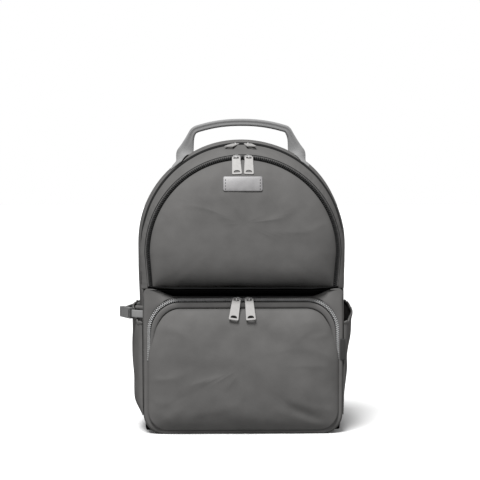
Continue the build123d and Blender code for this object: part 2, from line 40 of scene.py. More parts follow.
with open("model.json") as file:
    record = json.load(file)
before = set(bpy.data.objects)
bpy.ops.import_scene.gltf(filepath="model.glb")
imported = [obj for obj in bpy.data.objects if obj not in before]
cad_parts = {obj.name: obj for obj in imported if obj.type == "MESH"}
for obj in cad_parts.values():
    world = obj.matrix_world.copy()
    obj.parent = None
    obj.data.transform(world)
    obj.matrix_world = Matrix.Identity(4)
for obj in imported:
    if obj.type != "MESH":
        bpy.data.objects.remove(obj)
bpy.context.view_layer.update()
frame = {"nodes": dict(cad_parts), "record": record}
MM = 0.001

# ---------------------------------------------------------------- sizes, read from the frame


def low(name):
    """Lowest corner of a CAD node."""
    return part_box(name)[0]


def high(name):
    """Highest corner of a CAD node."""
    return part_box(name)[1]


Ring = namedtuple("Ring", "radius centre base_half")    # a round top on straight, tapering sides

REAR_Y = high("rear_gusset")[1]
ZIP_REAR_Y = low("rear_gusset")[1]
ZIP_FRONT_Y = high("front_gusset")[1]
GUSSET_FRONT_Y = low("front_gusset")[1]
FRAME_Y = low("front_frame")[1]
BELLY_Y = low("upper_pocket_panel")[1]
LOWER_BELLY_Y = low("lower_pocket_panel")[1]
TOP_Z = high("rear_gusset")[2]
FLAP_Z = low("front_gusset")[2]
FRAME_TOP_Z = high("front_frame")[2]
FOLD_Z = low("lower_pocket_panel")[2]

REAR_RADIUS = high("rear_gusset")[0]
BASE_HALF = high("base_panel")[0]
COIL_RADIUS = high("main_zip_coil_rear")[0]
MAIN_CENTRE = high("main_zip_coil_rear")[2] - COIL_RADIUS
UPPER_RADIUS = high("upper_zip_coil_outer")[0] - 2 * MM
UPPER_CENTRE = high("upper_zip_coil_outer")[2] - high("upper_zip_coil_outer")[0]

REAR = Ring(REAR_RADIUS, TOP_Z - REAR_RADIUS, BASE_HALF)
REAR_EDGE = Ring(COIL_RADIUS + 2.7 * MM, MAIN_CENTRE, BASE_HALF + 0.5 * MM)
MAIN = Ring(COIL_RADIUS, MAIN_CENTRE, BASE_HALF + 1 * MM)
GUSSET_REAR = Ring(COIL_RADIUS + 0.4 * MM, MAIN_CENTRE, BASE_HALF + 3 * MM)
GUSSET_FRONT = Ring(UPPER_RADIUS + 3 * MM, UPPER_CENTRE, UPPER_RADIUS - 18 * MM)
UPPER = Ring(UPPER_RADIUS, UPPER_CENTRE, UPPER_RADIUS - 23 * MM)
FRAME_RING = Ring(REAR_RADIUS - 6.5 * MM, REAR.centre, BASE_HALF - 1.5 * MM)
CORNER = 28 * MM

# Lower pocket, along the middle of its zip
POCKET_HALF = high("lower_zip_coil_inner")[0] + 0.6 * MM
POCKET_TOP_Z = high("lower_zip_coil_inner")[2] + 0.6 * MM
POCKET_BASE_Z = low("lower_pocket_base")[2] - 3.5 * MM
POCKET_TOP_CORNER = 45 * MM
POCKET_BASE_CORNER = 28 * MM

# ---------------------------------------------------------------- materials


def start_material(name, rough, metallic=0.0):
    """New material with its shader's uniform values set."""
    material = bpy.data.materials.new(name)
    material.use_nodes = True
    shader = material.node_tree.nodes["Principled BSDF"]
    shader.inputs["Roughness"].default_value = rough
    shader.inputs["Metallic"].default_value = metallic
    return material, material.node_tree, shader


def add_node(tree, kind, settings=(), inputs=()):
    """New shader node with its settings and its unlinked inputs."""
    node = tree.nodes.new(kind)
    for key, value in dict(settings).items():
        setattr(node, key, value)
    for key, value in dict(inputs).items():
        node.inputs[key].default_value = value
    return node


def cloth_place(tree):
    """Socket with the distance along the cloth, in metres."""
    return add_node(tree, "ShaderNodeAttribute", {"attribute_name": "cloth"}).outputs["Vector"]


def object_place(tree):
    """Socket with the place in the row frame, in metres."""
    return add_node(tree, "ShaderNodeTexCoord").outputs["Object"]


def noise_at(tree, place, scale, detail=2.0):
    """Factor of a noise texture at a place."""
    node = add_node(tree, "ShaderNodeTexNoise", {}, {"Scale": scale, "Detail": detail})
    tree.links.new(place, node.inputs["Vector"])
    return node.outputs["Fac"]


def bands_at(tree, place, direction, period, distortion=0.6):
    """Factor of a band pattern at a place; its period is in metres."""
    blender_band = tau / 20
    node = add_node(
        tree, "ShaderNodeTexWave", {"bands_direction": direction, "wave_profile": "SIN"},
        {"Scale": blender_band / period, "Distortion": distortion, "Detail": 1.0},
    )
    tree.links.new(place, node.inputs["Vector"])
    return node.outputs["Fac"]


def tint(tree, shader, factor, colour, spread):
    """Base colour that varies round a colour by a spread, as a factor says."""
    ramp = add_node(tree, "ShaderNodeValToRGB")
    ramp.color_ramp.elements[0].position = 0.3
    ramp.color_ramp.elements[1].position = 0.7
    ramp.color_ramp.elements[0].color = [c * (1 - spread) for c in colour] + [1]
    ramp.color_ramp.elements[1].color = [min(c * (1 + spread), 1) for c in colour] + [1]
    tree.links.new(factor, ramp.inputs["Fac"])
    tree.links.new(ramp.outputs["Color"], shader.inputs["Base Color"])


def mix(tree, first, second, share):
    """Mean of two factors, weighted by a share of the second."""
    node = add_node(tree, "ShaderNodeMix", {"data_type": "FLOAT"}, {"Factor": share})
    tree.links.new(first, node.inputs["A"])
    tree.links.new(second, node.inputs["B"])
    return node.outputs["Result"]


def bump(tree, shader, height, depth):
    """Bump from a height factor; depth is in metres."""
    node = add_node(tree, "ShaderNodeBump", {}, {"Strength": 0.6, "Distance": depth})
    tree.links.new(height, node.inputs["Height"])
    tree.links.new(node.outputs["Normal"], shader.inputs["Normal"])


def vary_roughness(tree, shader, factor, least, most):
    """Roughness that follows a factor between two values."""
    node = add_node(tree, "ShaderNodeMapRange", {}, {"To Min": least, "To Max": most})
    tree.links.new(factor, node.inputs["Value"])
    tree.links.new(node.outputs["Result"], shader.inputs["Roughness"])


def twill(name, colour, spread=0.12, sheen=0.0, period=0.9 * MM):
    """Fine nylon twill: diagonal threads, slight mottling and a satin sheen."""
    material, tree, shader = start_material(name, 0.6)
    shader.inputs["Sheen Weight"].default_value = sheen
    shader.inputs["Sheen Roughness"].default_value = 0.45
    shader.inputs["Specular IOR Level"].default_value = 0.0
    place = cloth_place(tree)
    threads = mix(tree, bands_at(tree, place, "DIAGONAL", period), noise_at(tree, place, 1400), 0.45)
    mottle = noise_at(tree, place, 42, 5)
    tint(tree, shader, mix(tree, threads, mottle, 0.6), colour, spread)
    vary_roughness(tree, shader, mottle, 0.48, 0.68)
    bump(tree, shader, threads, 0.16 * MM)
    return material


def ribbed(name, colour, period=1.7 * MM):
    """Woven webbing: ribs across its length and fine threads along it."""
    material, tree, shader = start_material(name, 0.7)
    shader.inputs["Sheen Weight"].default_value = 0.05
    shader.inputs["Specular IOR Level"].default_value = 0.1
    place = cloth_place(tree)
    ribs = bands_at(tree, place, "X", period)
    threads = bands_at(tree, place, "Y", period / 2)
    weave = mix(tree, mix(tree, ribs, threads, 0.35), noise_at(tree, place, 900), 0.3)
    tint(tree, shader, weave, colour, 0.22)
    vary_roughness(tree, shader, weave, 0.8, 0.62)
    bump(tree, shader, weave, 0.3 * MM)
    return material


def spacer_mesh(name, colour):
    """Knitted spacer mesh: rows of small dark holes."""
    material, tree, shader = start_material(name, 0.85)
    place = cloth_place(tree)
    holes = add_node(tree, "ShaderNodeTexVoronoi", {"feature": "F1"}, {"Scale": 330.0, "Randomness": 0.15})
    tree.links.new(place, holes.inputs["Vector"])
    tint(tree, shader, holes.outputs["Distance"], colour, 0.7)
    vary_roughness(tree, shader, noise_at(tree, place, 500), 0.8, 0.95)
    bump(tree, shader, holes.outputs["Distance"], 0.8 * MM)
    return material


def leather(name, colour):
    """Smooth grained leather."""
    material, tree, shader = start_material(name, 0.5)
    place = cloth_place(tree)
    grain = add_node(tree, "ShaderNodeTexVoronoi", {"feature": "DISTANCE_TO_EDGE"}, {"Scale": 900.0})
    tree.links.new(place, grain.inputs["Vector"])
    mottle = noise_at(tree, place, 120, 4)
    tint(tree, shader, mottle, colour, 0.12)
    vary_roughness(tree, shader, mottle, 0.42, 0.62)
    bump(tree, shader, grain.outputs["Distance"], 0.15 * MM)
    return material


def moulded(name, colour, rough, grain=600.0):
    """Moulded plastic with a fine spark-eroded grain."""
    material, tree, shader = start_material(name, rough)
    place = object_place(tree)
    speck = noise_at(tree, place, grain, 3)
    tint(tree, shader, noise_at(tree, place, 90), colour, 0.18)
    vary_roughness(tree, shader, speck, rough - 0.08, rough + 0.1)
    bump(tree, shader, speck, 0.06 * MM)
    return material


def cast_metal(name, colour, rough):
    """Satin plated metal, a little uneven."""
    material, tree, shader = start_material(name, rough, 1.0)
    place = object_place(tree)
    patches = noise_at(tree, place, 260, 4)
    tint(tree, shader, patches, colour, 0.07)
    vary_roughness(tree, shader, patches, rough - 0.07, rough + 0.1)
    bump(tree, shader, noise_at(tree, place, 1500), 0.03 * MM)
    return material


def grey(level, warmth=0.0):
    """Grey of a linear level, a little warmer in red than in blue."""
    return (level * (1 + warmth), level, level * (1 - warmth))


MATERIALS = {
    "shell_fabric": twill("shell_fabric", grey(0.048, 0.02)),
    # Near-black lining for the inner walls; the same cloth is painted shade on the fold strip under the upper
    # pocket.
    "lining_fabric": twill("lining_fabric", grey(0.004), 0.15, 0.0),
    "spacer_mesh": spacer_mesh("spacer_mesh", grey(0.03)),
    "webbing": ribbed("webbing", grey(0.088)),
    "board_plastic": moulded("board_plastic", grey(0.06), 0.55),
    "patch_leather": leather("patch_leather", (0.066, 0.064, 0.065)),
    "tag_fabric": ribbed("tag_fabric", grey(0.012), 1.1 * MM),
    "buckle_plastic": moulded("buckle_plastic", grey(0.012), 0.42),
    # Near-black zip tape, its own dark colour; the same finish also paints shade on the strip behind the main
    # zip and on the main and upper zips' teeth.
    "zip_tape": ribbed("zip_tape", grey(0.006), 1.2 * MM),
    "zip_coil": moulded("zip_coil", grey(0.13), 0.4),
    "slider_metal": cast_metal("slider_metal", grey(0.2, 0.01), 0.62),
    "pull_metal": cast_metal("pull_metal", grey(0.2, 0.02), 0.78),
}
THREAD = ribbed("thread", grey(0.04), 0.6 * MM)
PATCH_THREAD = ribbed("patch_thread", grey(0.01), 0.6 * MM)

# ---------------------------------------------------------------- mesh toolkit


def smooth(value, start=0.0, end=1.0):
    """0 before start, 1 after end, and a smooth step between."""
    share = min(max((value - start) / (end - start), 0.0), 1.0)
    return share * share * (3 - 2 * share)


def lerp(a, b, share):
    """Value at a share of the way from a to b."""
    return a + (b - a) * share


def mix_rings(first, second, share):
    """Cross-section between two others."""
    return Ring(*(lerp(a, b, share) for a, b in zip(first, second)))


def uneven(point, size, amount, seed=0.0):
    """Smooth unevenness of cloth at a point."""
    return amount * noise.noise(point / size + Vector((seed, 2.3 * seed, 0)))


def wrinkles(point, size, amount, seed=0.0):
    """Narrow soft ridges that wander over cloth, lying mostly across it."""
    place = Vector((point.x * 0.62 + 0.3 * point.z, point.y, point.z * 1.25)) / size + Vector((seed, seed, 0))
    ridge = 1 - min(abs(noise.noise(place)) * 3.2, 1.0)
    patchy = smooth(noise.noise(place * 0.45 + Vector((5, 0, 9))), -0.1, 0.35)
    return -amount * ridge * ridge * patchy


def make_mesh(name, vertices, faces, places, material):
    """Smooth mesh object that carries each vertex's place on its cloth."""
    mesh = bpy.data.meshes.new(name)
    mesh.from_pydata([tuple(v) for v in vertices], [], faces)
    attribute = mesh.attributes.new("cloth", "FLOAT_VECTOR", "POINT")
    attribute.data.foreach_set("vector", [value for place in places for value in place])
    mesh.polygons.foreach_set("use_smooth", [True] * len(mesh.polygons))
    mesh.materials.append(material)
    piece = bpy.data.objects.new(name, mesh)
    bpy.context.collection.objects.link(piece)
    return piece


def cloth_grid(rows):
    """Distances along and across rows of points, as the cloth's own coordinates."""
    places = []
    across = 0.0
    previous = rows[0]
    for row in rows:
        across += sum((a - b).length for a, b in zip(row, previous)) / len(row)
        along = 0.0
        for i, point in enumerate(row):
            along += (point - row[i - 1]).length if i else 0.0
            places.append((along, across, 0.0))
        previous = row
    return places


def add_rounding(piece, levels):
    """Rounds a piece by subdivision."""
    rounding = piece.modifiers.new("rounding", "SUBSURF")
    rounding.levels = levels
    rounding.render_levels = levels


def grid(name, rows, material, closed=False, flat=False, thick=0.0, levels=1, pole=None):
    """Cloth through rows of points; flat cloth is laid out by x and z, and a pole closes the last row."""
    count = len(rows[0])
    vertices = [point for row in rows for point in row]
    faces = []
    for r in range(len(rows) - 1):
        for c in range(count if closed else count - 1):
            a = r * count + c
            b = r * count + (c + 1) % count
            faces.append((a, b, b + count, a + count))
    if pole is not None:
        last = (len(rows) - 1) * count
        faces += [(last + c, last + (c + 1) % count, len(vertices)) for c in range(count)]
        vertices.append(pole)
    places = [(p.x, p.z, 0.0) for p in vertices] if flat else cloth_grid(rows)
    piece = make_mesh(name, vertices, faces, places, material)
    if thick:
        wall = piece.modifiers.new("wall", "SOLIDIFY")
        wall.thickness = thick
        wall.offset = 0.0
    if levels and pole is None:
        add_rounding(piece, levels)
    return piece


def bake(piece):
    """Turns a piece's modifiers into its mesh."""
    shown = piece.evaluated_get(bpy.context.evaluated_depsgraph_get())
    mesh = bpy.data.meshes.new_from_object(shown)
    piece.modifiers.clear()
    piece.data = mesh


def settle(piece, slot, body, *nodes, span=None):
    """Attaches a piece to its body, and hides the CAD nodes that it stands for; the slot is not used. Cloth
    that crosses a joint has the pair of bodies that it joins and the span over which it passes from one to
    the other, and is only baked in place, on no body."""
    if span:
        bake(piece)
    if span:
        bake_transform(piece)
    else:
        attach(piece, body)
    if nodes:
        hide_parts(*nodes)


def cloth(name, rows, slot, body, *nodes, span=None, **shape):
    """Piece of cloth through rows of points, finished and settled."""
    piece = grid(name, rows, MATERIALS[slot], **shape)
    settle(piece, slot, body, *nodes, span=span)
    return piece


def strip(name, points, section, slot, body, *nodes, span=None, **shape):
    """Strip along a line, finished and settled."""
    piece = sweep(name, points, section, MATERIALS[slot], **shape)
    settle(piece, slot, body, *nodes, span=span)
    return piece


def resample(points, count, closed=False):
    """Points at equal distances along a line of points."""
    line = list(points) + ([points[0]] if closed else [])
    steps = [(b - a).length for a, b in zip(line, line[1:])]
    total = sum(steps)
    spans = count if closed else count - 1
    result = []
    i = 0
    walked = 0.0
    for k in range(count):
        target = total * k / spans
        while i < len(steps) - 1 and walked + steps[i] < target:
            walked += steps[i]
            i += 1
        result.append(line[i].lerp(line[i + 1], min((target - walked) / max(steps[i], 1e-9), 1.0)))
    return result


def tangents(points, closed=False):
    """Unit direction along a line at each of its points."""
    count = len(points)
    result = []
    for i in range(count):
        after = points[(i + 1) % count] if closed else points[min(i + 1, count - 1)]
        before = points[i - 1] if closed else points[max(i - 1, 0)]
        result.append((after - before).normalized())
    return result


def length_of(points, closed=False):
    """Length of a line of points."""
    ends = points[1:] + ([points[0]] if closed else [])
    return sum((b - a).length for a, b in zip(points, ends))


def sweep(name, points, section, material, facing=None, across=None, closed=False):
    """Solid strip along a line. The section, a list of (side, out) or a function of the share walked, is in a
    frame whose out is facing, or whose side is across."""
    count = len(points)
    directions = tangents(points, closed)
    rows = []
    for i, (point, along) in enumerate(zip(points, directions)):
        share = i / (count - 1)
        if facing is None:
            side = across
        else:
            side = along.cross(facing[i] if isinstance(facing, list) else facing).normalized()
        out = side.cross(along).normalized()
        shape = section(share) if callable(section) else section
        rows.append([point + side * s + out * o for s, o in shape])
    width = len(rows[0])
    vertices = [point for row in rows for point in row]
    faces = []
    for r in range(count if closed else count - 1):
        for c in range(width):
            a = r * width + c
            b = r * width + (c + 1) % width
            far = (r + 1) % count * width - r * width
            faces.append((a, b, b + far, a + far))
    if not closed:
        faces.append(tuple(reversed(range(width))))
        faces.append(tuple(range((count - 1) * width, count * width)))
    step = length_of(points, closed) / count
    around = [0.0]
    for a, b in zip(rows[0], rows[0][1:]):
        around.append(around[-1] + (b - a).length)
    places = [(r * step, around[c], 0.0) for r in range(count) for c in range(width)]
    piece = make_mesh(name, vertices, faces, places, material)
    add_rounding(piece, 1)
    return piece


def oval(half_side, half_out, out=0.0, count=10, power=1.0):
    """Rounded section; a power under 1 makes it squarer."""
    def bent(value):
        """Value with its size raised to the power."""
        return (abs(value) ** power) * (1 if value >= 0 else -1)

    turns = [tau * i / count for i in range(count)]
    return [(half_side * bent(cos(t)), out + half_out * bent(sin(t))) for t in turns]


def beads(name, points, pitch, size, material, facing=None, across=None,
          late=False, lift=0.0, side_shift=0.0):
    """A row of small bevelled blocks along a line: zip teeth or stitches. Size is along, across and out,
    and a late row starts half a pitch on."""
    number = int(length_of(points) / pitch)
    line = resample(points, number * 2)
    directions = tangents(line)
    vertices = []
    faces = []
    places = []
    for i in range(number):
        k = 2 * i + late
        along = directions[k]
        side = across if facing is None else along.cross(facing).normalized()
        out = side.cross(along).normalized()
        base = line[k] + out * lift + side * side_shift
        start = len(vertices)
        for level, shrink in ((0.0, 1.0), (0.6, 1.0), (1.0, 0.55)):
            for a, b in ((-1, -1), (1, -1), (1, 1), (-1, 1)):
                vertices.append(
                    base + along * (a * shrink * size[0] / 2) + side * (b * shrink * size[1] / 2)
                    + out * (level * size[2])
                )
                places.append((i * pitch, b * size[1], level))
        for level in (0, 4):
            for c in range(4):
                a = start + level + c
                b = start + level + (c + 1) % 4
                faces.append((a, b, b + 4, a + 4))
        faces.append((start + 3, start + 2, start + 1, start))
        faces.append((start + 8, start + 9, start + 10, start + 11))
    return make_mesh(name, vertices, faces, places, material)


# ---------------------------------------------------------------- outlines of the bag


def ring_half_path(ring, inset=0.0, foot=None):
    """Right half of a cross-section, from its top down to height foot, or to the middle of the base."""
    radius = ring.radius - inset
    base_half = ring.base_half - inset
    points = [Vector((radius * sin(t), 0, ring.centre + radius * cos(t))) for t in arc_steps(pi / 2, 60)]
    if foot is not None:
        points.append(Vector((lerp(radius, base_half, (ring.centre - foot) / ring.centre), 0, foot)))
        return points
    corner = max(CORNER - inset, 2 * MM)
    for turn in arc_steps(pi / 2, 14):
        points.append(Vector((base_half - corner * (1 - cos(turn)), 0, inset + corner * (1 - sin(turn)))))
    points.append(Vector((0, 0, inset)))
    return points


def arc_steps(angle, count):
    """Angles from 0 to an angle, in equal steps."""
    return [angle * i / count for i in range(count + 1)]


def mirrored(half):
    """Whole line from its right half, left to right."""
    return [Vector((-p.x, p.y, p.z)) for p in reversed(half)] + half[1:]


def ring_line(ring, y, count, inset=0.0, foot=None):
    """Evenly spaced points round a cross-section at depth y; closed at the base where there is no foot."""
    line = mirrored(ring_half_path(ring, inset, foot))
    if foot is None:
        line = line[:-1]
    points = resample(line, count, foot is None)
    return [Vector((p.x, y, p.z)) for p in points]


def pocket_line(y, count, inset=0.0, foot=None):
    """Evenly spaced points round the lower pocket's zip line, starting from the middle of its base."""
    half = POCKET_HALF - inset
    top = POCKET_TOP_Z - inset
    base = POCKET_BASE_Z + inset
    top_corner = max(POCKET_TOP_CORNER - inset, 4 * MM)
    base_corner = max(POCKET_BASE_CORNER - inset, 4 * MM)
    points = [Vector((0, y, top))]
    points += [
        Vector((half - top_corner * (1 - sin(t)), y, top - top_corner * (1 - cos(t))))
        for t in arc_steps(pi / 2, 16)
    ]
    if foot is None:
        points += [
            Vector((half - base_corner * (1 - cos(t)), y, base + base_corner * (1 - sin(t))))
            for t in arc_steps(pi / 2, 12)
        ]
        points.append(Vector((0, y, base)))
    else:
        points.append(Vector((half, y, foot)))
    line = mirrored(points)
    return resample(line[:-1], count, True) if foot is None else resample(line, count)


def away_from_middle(line, amounts):
    """Line of points moved outwards in its own plane, by an amount for each point."""
    closed = (line[0] - line[-1]).length < 3 * (line[1] - line[0]).length
    result = []
    for point, along, amount in zip(line, tangents(line, closed), amounts):
        outward = Vector((-along.z, 0, along.x))
        result.append(point + outward * amount)
    return result


FRONT = Vector((0, -1, 0))
BACK = Vector((0, 1, 0))
SIDES = ((-1, "left"), (1, "right"))
CLOTH = 1.2 * MM        # thickness of the shell cloth as it is shown
FLOOR_GAP = 0.4 * MM    # cloth under the base stays this far off the floor

# Where cloth that crosses a fold starts and stops following the moving body
GUSSET_SPAN = (
    Vector((0, ZIP_FRONT_Y, FRAME_TOP_Z)),
    Vector((0, ZIP_FRONT_Y - 20 * MM, FRAME_TOP_Z + 20 * MM)),
)
UPPER_SPAN = (Vector((0, BELLY_Y, FLAP_Z - 1 * MM)), Vector((0, BELLY_Y, FLAP_Z + 14 * MM)))
LOWER_SPAN = (Vector((0, LOWER_BELLY_Y, FOLD_Z - 9 * MM)), Vector((0, LOWER_BELLY_Y, FOLD_Z + 11 * MM)))


# ---------------------------------------------------------------- shell


def build_rear_band():
    """Cloth band round the rear half: rear gusset above, sides and base below."""
    count = 220
    bulge = 3 * MM
    rows = [ring_line(REAR_EDGE, ZIP_REAR_Y, count, 3 * MM)]
    steps = 10
    for i in range(steps + 1):
        share = i / steps
        y = lerp(ZIP_REAR_Y, REAR_Y + 1 * MM, share)
        line = ring_line(mix_rings(REAR_EDGE, REAR, share), y, count)
        amounts = [
            bulge * sin(pi * share) ** 0.7 + uneven(p, 0.07, 1.6 * MM, 1.0) * sin(pi * share)
            + uneven(p, 0.012, 0.5 * MM, 4.0) * (1 - share) ** 2
            for p in line
        ]
        line = away_from_middle(line, amounts)
        rows.append([Vector((p.x, p.y, max(p.z, FLOOR_GAP))) for p in line])
    rows.append(ring_line(REAR, REAR_Y + 1 * MM, count, 4 * MM))
    cloth("rear_band", rows, "shell_fabric", "pack", "rear_gusset", closed=True, thick=CLOTH)
    welt_radius = 1.7 * MM
    welt_line = ring_line(REAR, REAR_Y + 1.2 * MM, 200, 1.9 * MM)
    strip("rear_welt", welt_line, oval(welt_radius, welt_radius), "shell_fabric", "pack",
          facing=FRONT, closed=True)


def side_half(share, z):
    """Half the bag's width at a share of the way from the front frame to the back, at height z."""
    ring = mix_rings(FRAME_RING, REAR, share)
    below_corner = max(CORNER - z, 0.0)
    rounding = CORNER - (CORNER ** 2 - below_corner ** 2) ** 0.5
    return lerp(ring.radius, ring.base_half, (ring.centre - z) / ring.centre) - rounding


def under_line(ring, y, count):
    """Points from the left side's top down round the base and up the right side."""
    top_half = lerp(ring.radius, ring.base_half, (ring.centre - FRAME_TOP_Z) / ring.centre)
    right = [Vector((0, y, 0))]
    right += [
        Vector((ring.base_half - CORNER * (1 - sin(t)), y, CORNER * (1 - cos(t))))
        for t in arc_steps(pi / 2, 14)
    ]
    right.append(Vector((top_half, y, FRAME_TOP_Z)))
    return resample(mirrored(right), count)


def build_lower_shell():
    """Sides and base between the front frame and the rear band."""
    count = 180
    steps = 8
    front_y = FRAME_Y + 2 * MM
    rows = []
    for i in range(steps + 1):
        share = i / steps
        y = lerp(front_y, ZIP_REAR_Y + 3 * MM, share)
        ring = mix_rings(FRAME_RING, REAR, (y - front_y) / (REAR_Y - front_y))
        line = under_line(ring, y, count)
        # outward is downwards under the base, because this line runs the other way round
        amounts = [-(1.2 * MM + uneven(p, 0.06, 1.6 * MM, 2.0)) * sin(pi * share) for p in line]
        line = away_from_middle(line, amounts)
        rows.append([Vector((p.x, p.y, max(p.z, FLOOR_GAP))) for p in line])
    cloth("lower_shell", rows, "shell_fabric", "pack", "side_panel_left", "side_panel_right", "base_panel",
          thick=CLOTH)


def build_back():
    """Back panel, two mesh pads and the strap yoke."""
    count = 180
    rows = []
    for i in range(9):
        share = (i / 9) ** 1.2
        rim = ring_line(REAR, 0, count)
        rows.append([
            Vector((p.x * (1 - share), REAR_Y + 2 * MM + 1.5 * MM * smooth(share, 0, 0.3)
                    + uneven(p * (1 - share), 0.08, 1 * MM, 6.0) * smooth(share, 0, 0.2),
                    lerp(p.z, REAR.centre - 60 * MM, share)))
            for p in rim
        ])
    pole = Vector((0, REAR_Y + 3.5 * MM, REAR.centre - 60 * MM))
    cloth("back_cloth", rows, "shell_fabric", "pack", "back_panel", closed=True, flat=True, pole=pole)
    for word in ("left", "right"):
        pad = crowned_pad(f"back_mesh_{word}", f"back_pad_{word}", 18 * MM, "spacer_mesh", 5)
    crowned_pad("yoke_cloth", "strap_yoke", 8 * MM, "shell_fabric", 0)


def build_wings():
    """Sewn triangles that hold the lower ends of the shoulder straps."""
    for side, word in SIDES:
        node = f"strap_wing_{word}"
        (x0, y0, z0), (x1, y1, z1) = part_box(node)
        outer, inner = (x0, x1) if side < 0 else (x1, x0)
        outline = [
            (outer - side * MM, z0), (outer, z1), (inner, lerp(z0, z1, 0.74)), (inner, lerp(z0, z1, 0.3)),
        ]
        middle = Vector((sum(x for x, z in outline) / 4, 0, sum(z for x, z in outline) / 4))
        rows = []
        for scale, depth in ((1.0, 0.0), (1.0, 0.55), (0.9, 0.9), (0.5, 1.0)):
            rows.append([
                Vector((lerp(middle.x, x, scale), lerp(y0, y1, depth), lerp(middle.z, z, scale)))
                for (xa, za), (xb, zb) in zip(outline, outline[1:] + outline[:1])
                for x, z in ((lerp(xa, xb, s), lerp(za, zb, s)) for s in (0.02, 0.35, 0.65, 0.98))
            ])
        cloth(f"wing_cloth_{word}", rows, "shell_fabric", "pack", node, closed=True, flat=True,
              pole=Vector((middle.x, y1, middle.z)))


def rounded_rectangle(low_x, low_z, high_x, high_z, corner, count):
    """Points round an upright rectangle with round corners."""
    middles = ((high_x - corner, high_z - corner, 0), (low_x + corner, high_z - corner, 1),
               (low_x + corner, low_z + corner, 2), (high_x - corner, low_z + corner, 3))
    line = [
        Vector((x + corner * cos(pi / 2 * quarter + t), 0, z + corner * sin(pi / 2 * quarter + t)))
        for x, z, quarter in middles for t in arc_steps(pi / 2, 8)
    ]
    return resample(line, count, True)


def crowned_pad(name, node, corner, slot, channels):
    """Soft pad standing on the back: rolled edge, crowned middle, and sewn channels across it."""
    (x0, y0, z0), (x1, y1, z1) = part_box(node)
    middle = Vector(((x0 + x1) / 2, 0, (z0 + z1) / 2))
    rim = rounded_rectangle(x0, z0, x1, z1, corner, 160)
    height = y1 - y0
    rows = []
    for scale, depth in ((1.0, 0.0), (1.0, 0.35), (0.985, 0.7), (0.95, 0.9), (0.88, 1.0),
                         (0.75, 1.06), (0.6, 1.1), (0.45, 1.12), (0.3, 1.13), (0.15, 1.13)):
        row = []
        for point in rim:
            place = middle.lerp(point, scale)
            crown = depth
            if channels:
                wave = cos(tau * (place.z - z0) / (z1 - z0) * channels)
                crown -= 0.42 * smooth(depth, 0.6, 1.0) * smooth(wave, 0.86, 1.0)
            row.append(Vector((place.x, y0 + height * crown, place.z)))
        rows.append(row)
    pole = Vector((middle.x, y0 + height * 1.13, middle.z))
    return cloth(name, rows, slot, "pack", node, closed=True, flat=True, pole=pole)


def fold_share(x):
    """1 where the cloth folds deep under the upper pocket, 0 at the bag's sides."""
    return 1 - smooth(abs(x), 100 * MM, 128 * MM)


def frame_relief(x, z):
    """How far the cloth above the lower zip sinks back under the upper pocket."""
    up = smooth(z, POCKET_TOP_Z - 12 * MM * (1 - fold_share(x)), FRAME_TOP_Z + 1 * MM)
    return 13 * MM * up * (1 - 0.75 * smooth(abs(x), 108 * MM, 128 * MM))


def build_front_frame():
    """Front cloth round the lower pocket, from the bag's edge in to the zip."""
    count = 200
    middle = Vector((0, 0, 100 * MM))
    inner = [
        Vector((p.x * (1 - 0.012 * (1 - top_share(p.z))), 0, p.z))
        for p in pocket_line(0, count, -1.9 * MM)
    ]
    outer_line = under_line(FRAME_RING, 0, 400)
    top = []
    for i in range(1, 120):
        x = lerp(outer_line[-1].x, outer_line[0].x, i / 120)
        z = lerp(FRAME_TOP_Z + 1.5 * MM, POCKET_TOP_Z + 4.2 * MM, fold_share(x))
        top.append(Vector((x, 0, z)))
    loop = outer_line + top

    def bearing(vector):
        """Direction of a vector in the plane of the front."""
        return Vector((vector.x, vector.z)).normalized()

    outer = [max(loop, key=lambda q: bearing(q - middle).dot(bearing(p - middle))) for p in inner]
    rows = []
    for share in (0.0, 0.0, 0.2, 0.45, 0.7, 0.88, 0.97, 1.0):
        edge = 5 * MM * smooth(share, 0.8, 1.0)
        row = []
        for near, far in zip(inner, outer):
            place = near.lerp(far, share)
            side_edge = edge * (1 - smooth(far.z, FRAME_TOP_Z - 20 * MM, FRAME_TOP_Z))
            slack = uneven(place, 0.03, 0.9 * MM, 3.0) * share
            y = FRAME_Y + side_edge + frame_relief(place.x, place.z) + slack
            row.append(Vector((place.x, y, max(place.z, 0.6 * MM))))
        rows.append(row)
    rows[0] = [p + Vector((0, 2.5 * MM, 0)) for p in rows[0]]
    cloth("frame_cloth", rows, "shell_fabric", "pack", "front_frame", closed=True, flat=True, thick=1.0 * MM)


def build_fold_strip():
    """Near-black cloth between the top of the lower half and the flap: painted shade for the deep fold under
    the upper pocket.
    """
    half = 136 * MM
    rows = []
    for share in (0.0, 0.1, 0.25, 0.45, 0.65, 0.85, 1.0):
        row = []
        for x in (half * i / 40 for i in range(-40, 41)):
            foot = lerp(FRAME_TOP_Z - 1 * MM, POCKET_TOP_Z + 3 * MM, fold_share(x))
            front = FRAME_Y + 2 * MM + frame_relief(x, foot)
            back = lerp(FRAME_Y + 17 * MM, FRAME_Y + 44 * MM, fold_share(x))
            row.append(Vector((x, lerp(front, back, share ** 0.6), lerp(foot, FLAP_Z + 1.5 * MM, share))))
        rows.append(row)
    span = (Vector((0, FRAME_Y, FRAME_TOP_Z - 1.5 * MM)), Vector((0, FRAME_Y, FLAP_Z + 1 * MM)))
    cloth("fold_strip", rows, "lining_fabric", ("pack", "main_flap"), span=span, thick=0.8 * MM)


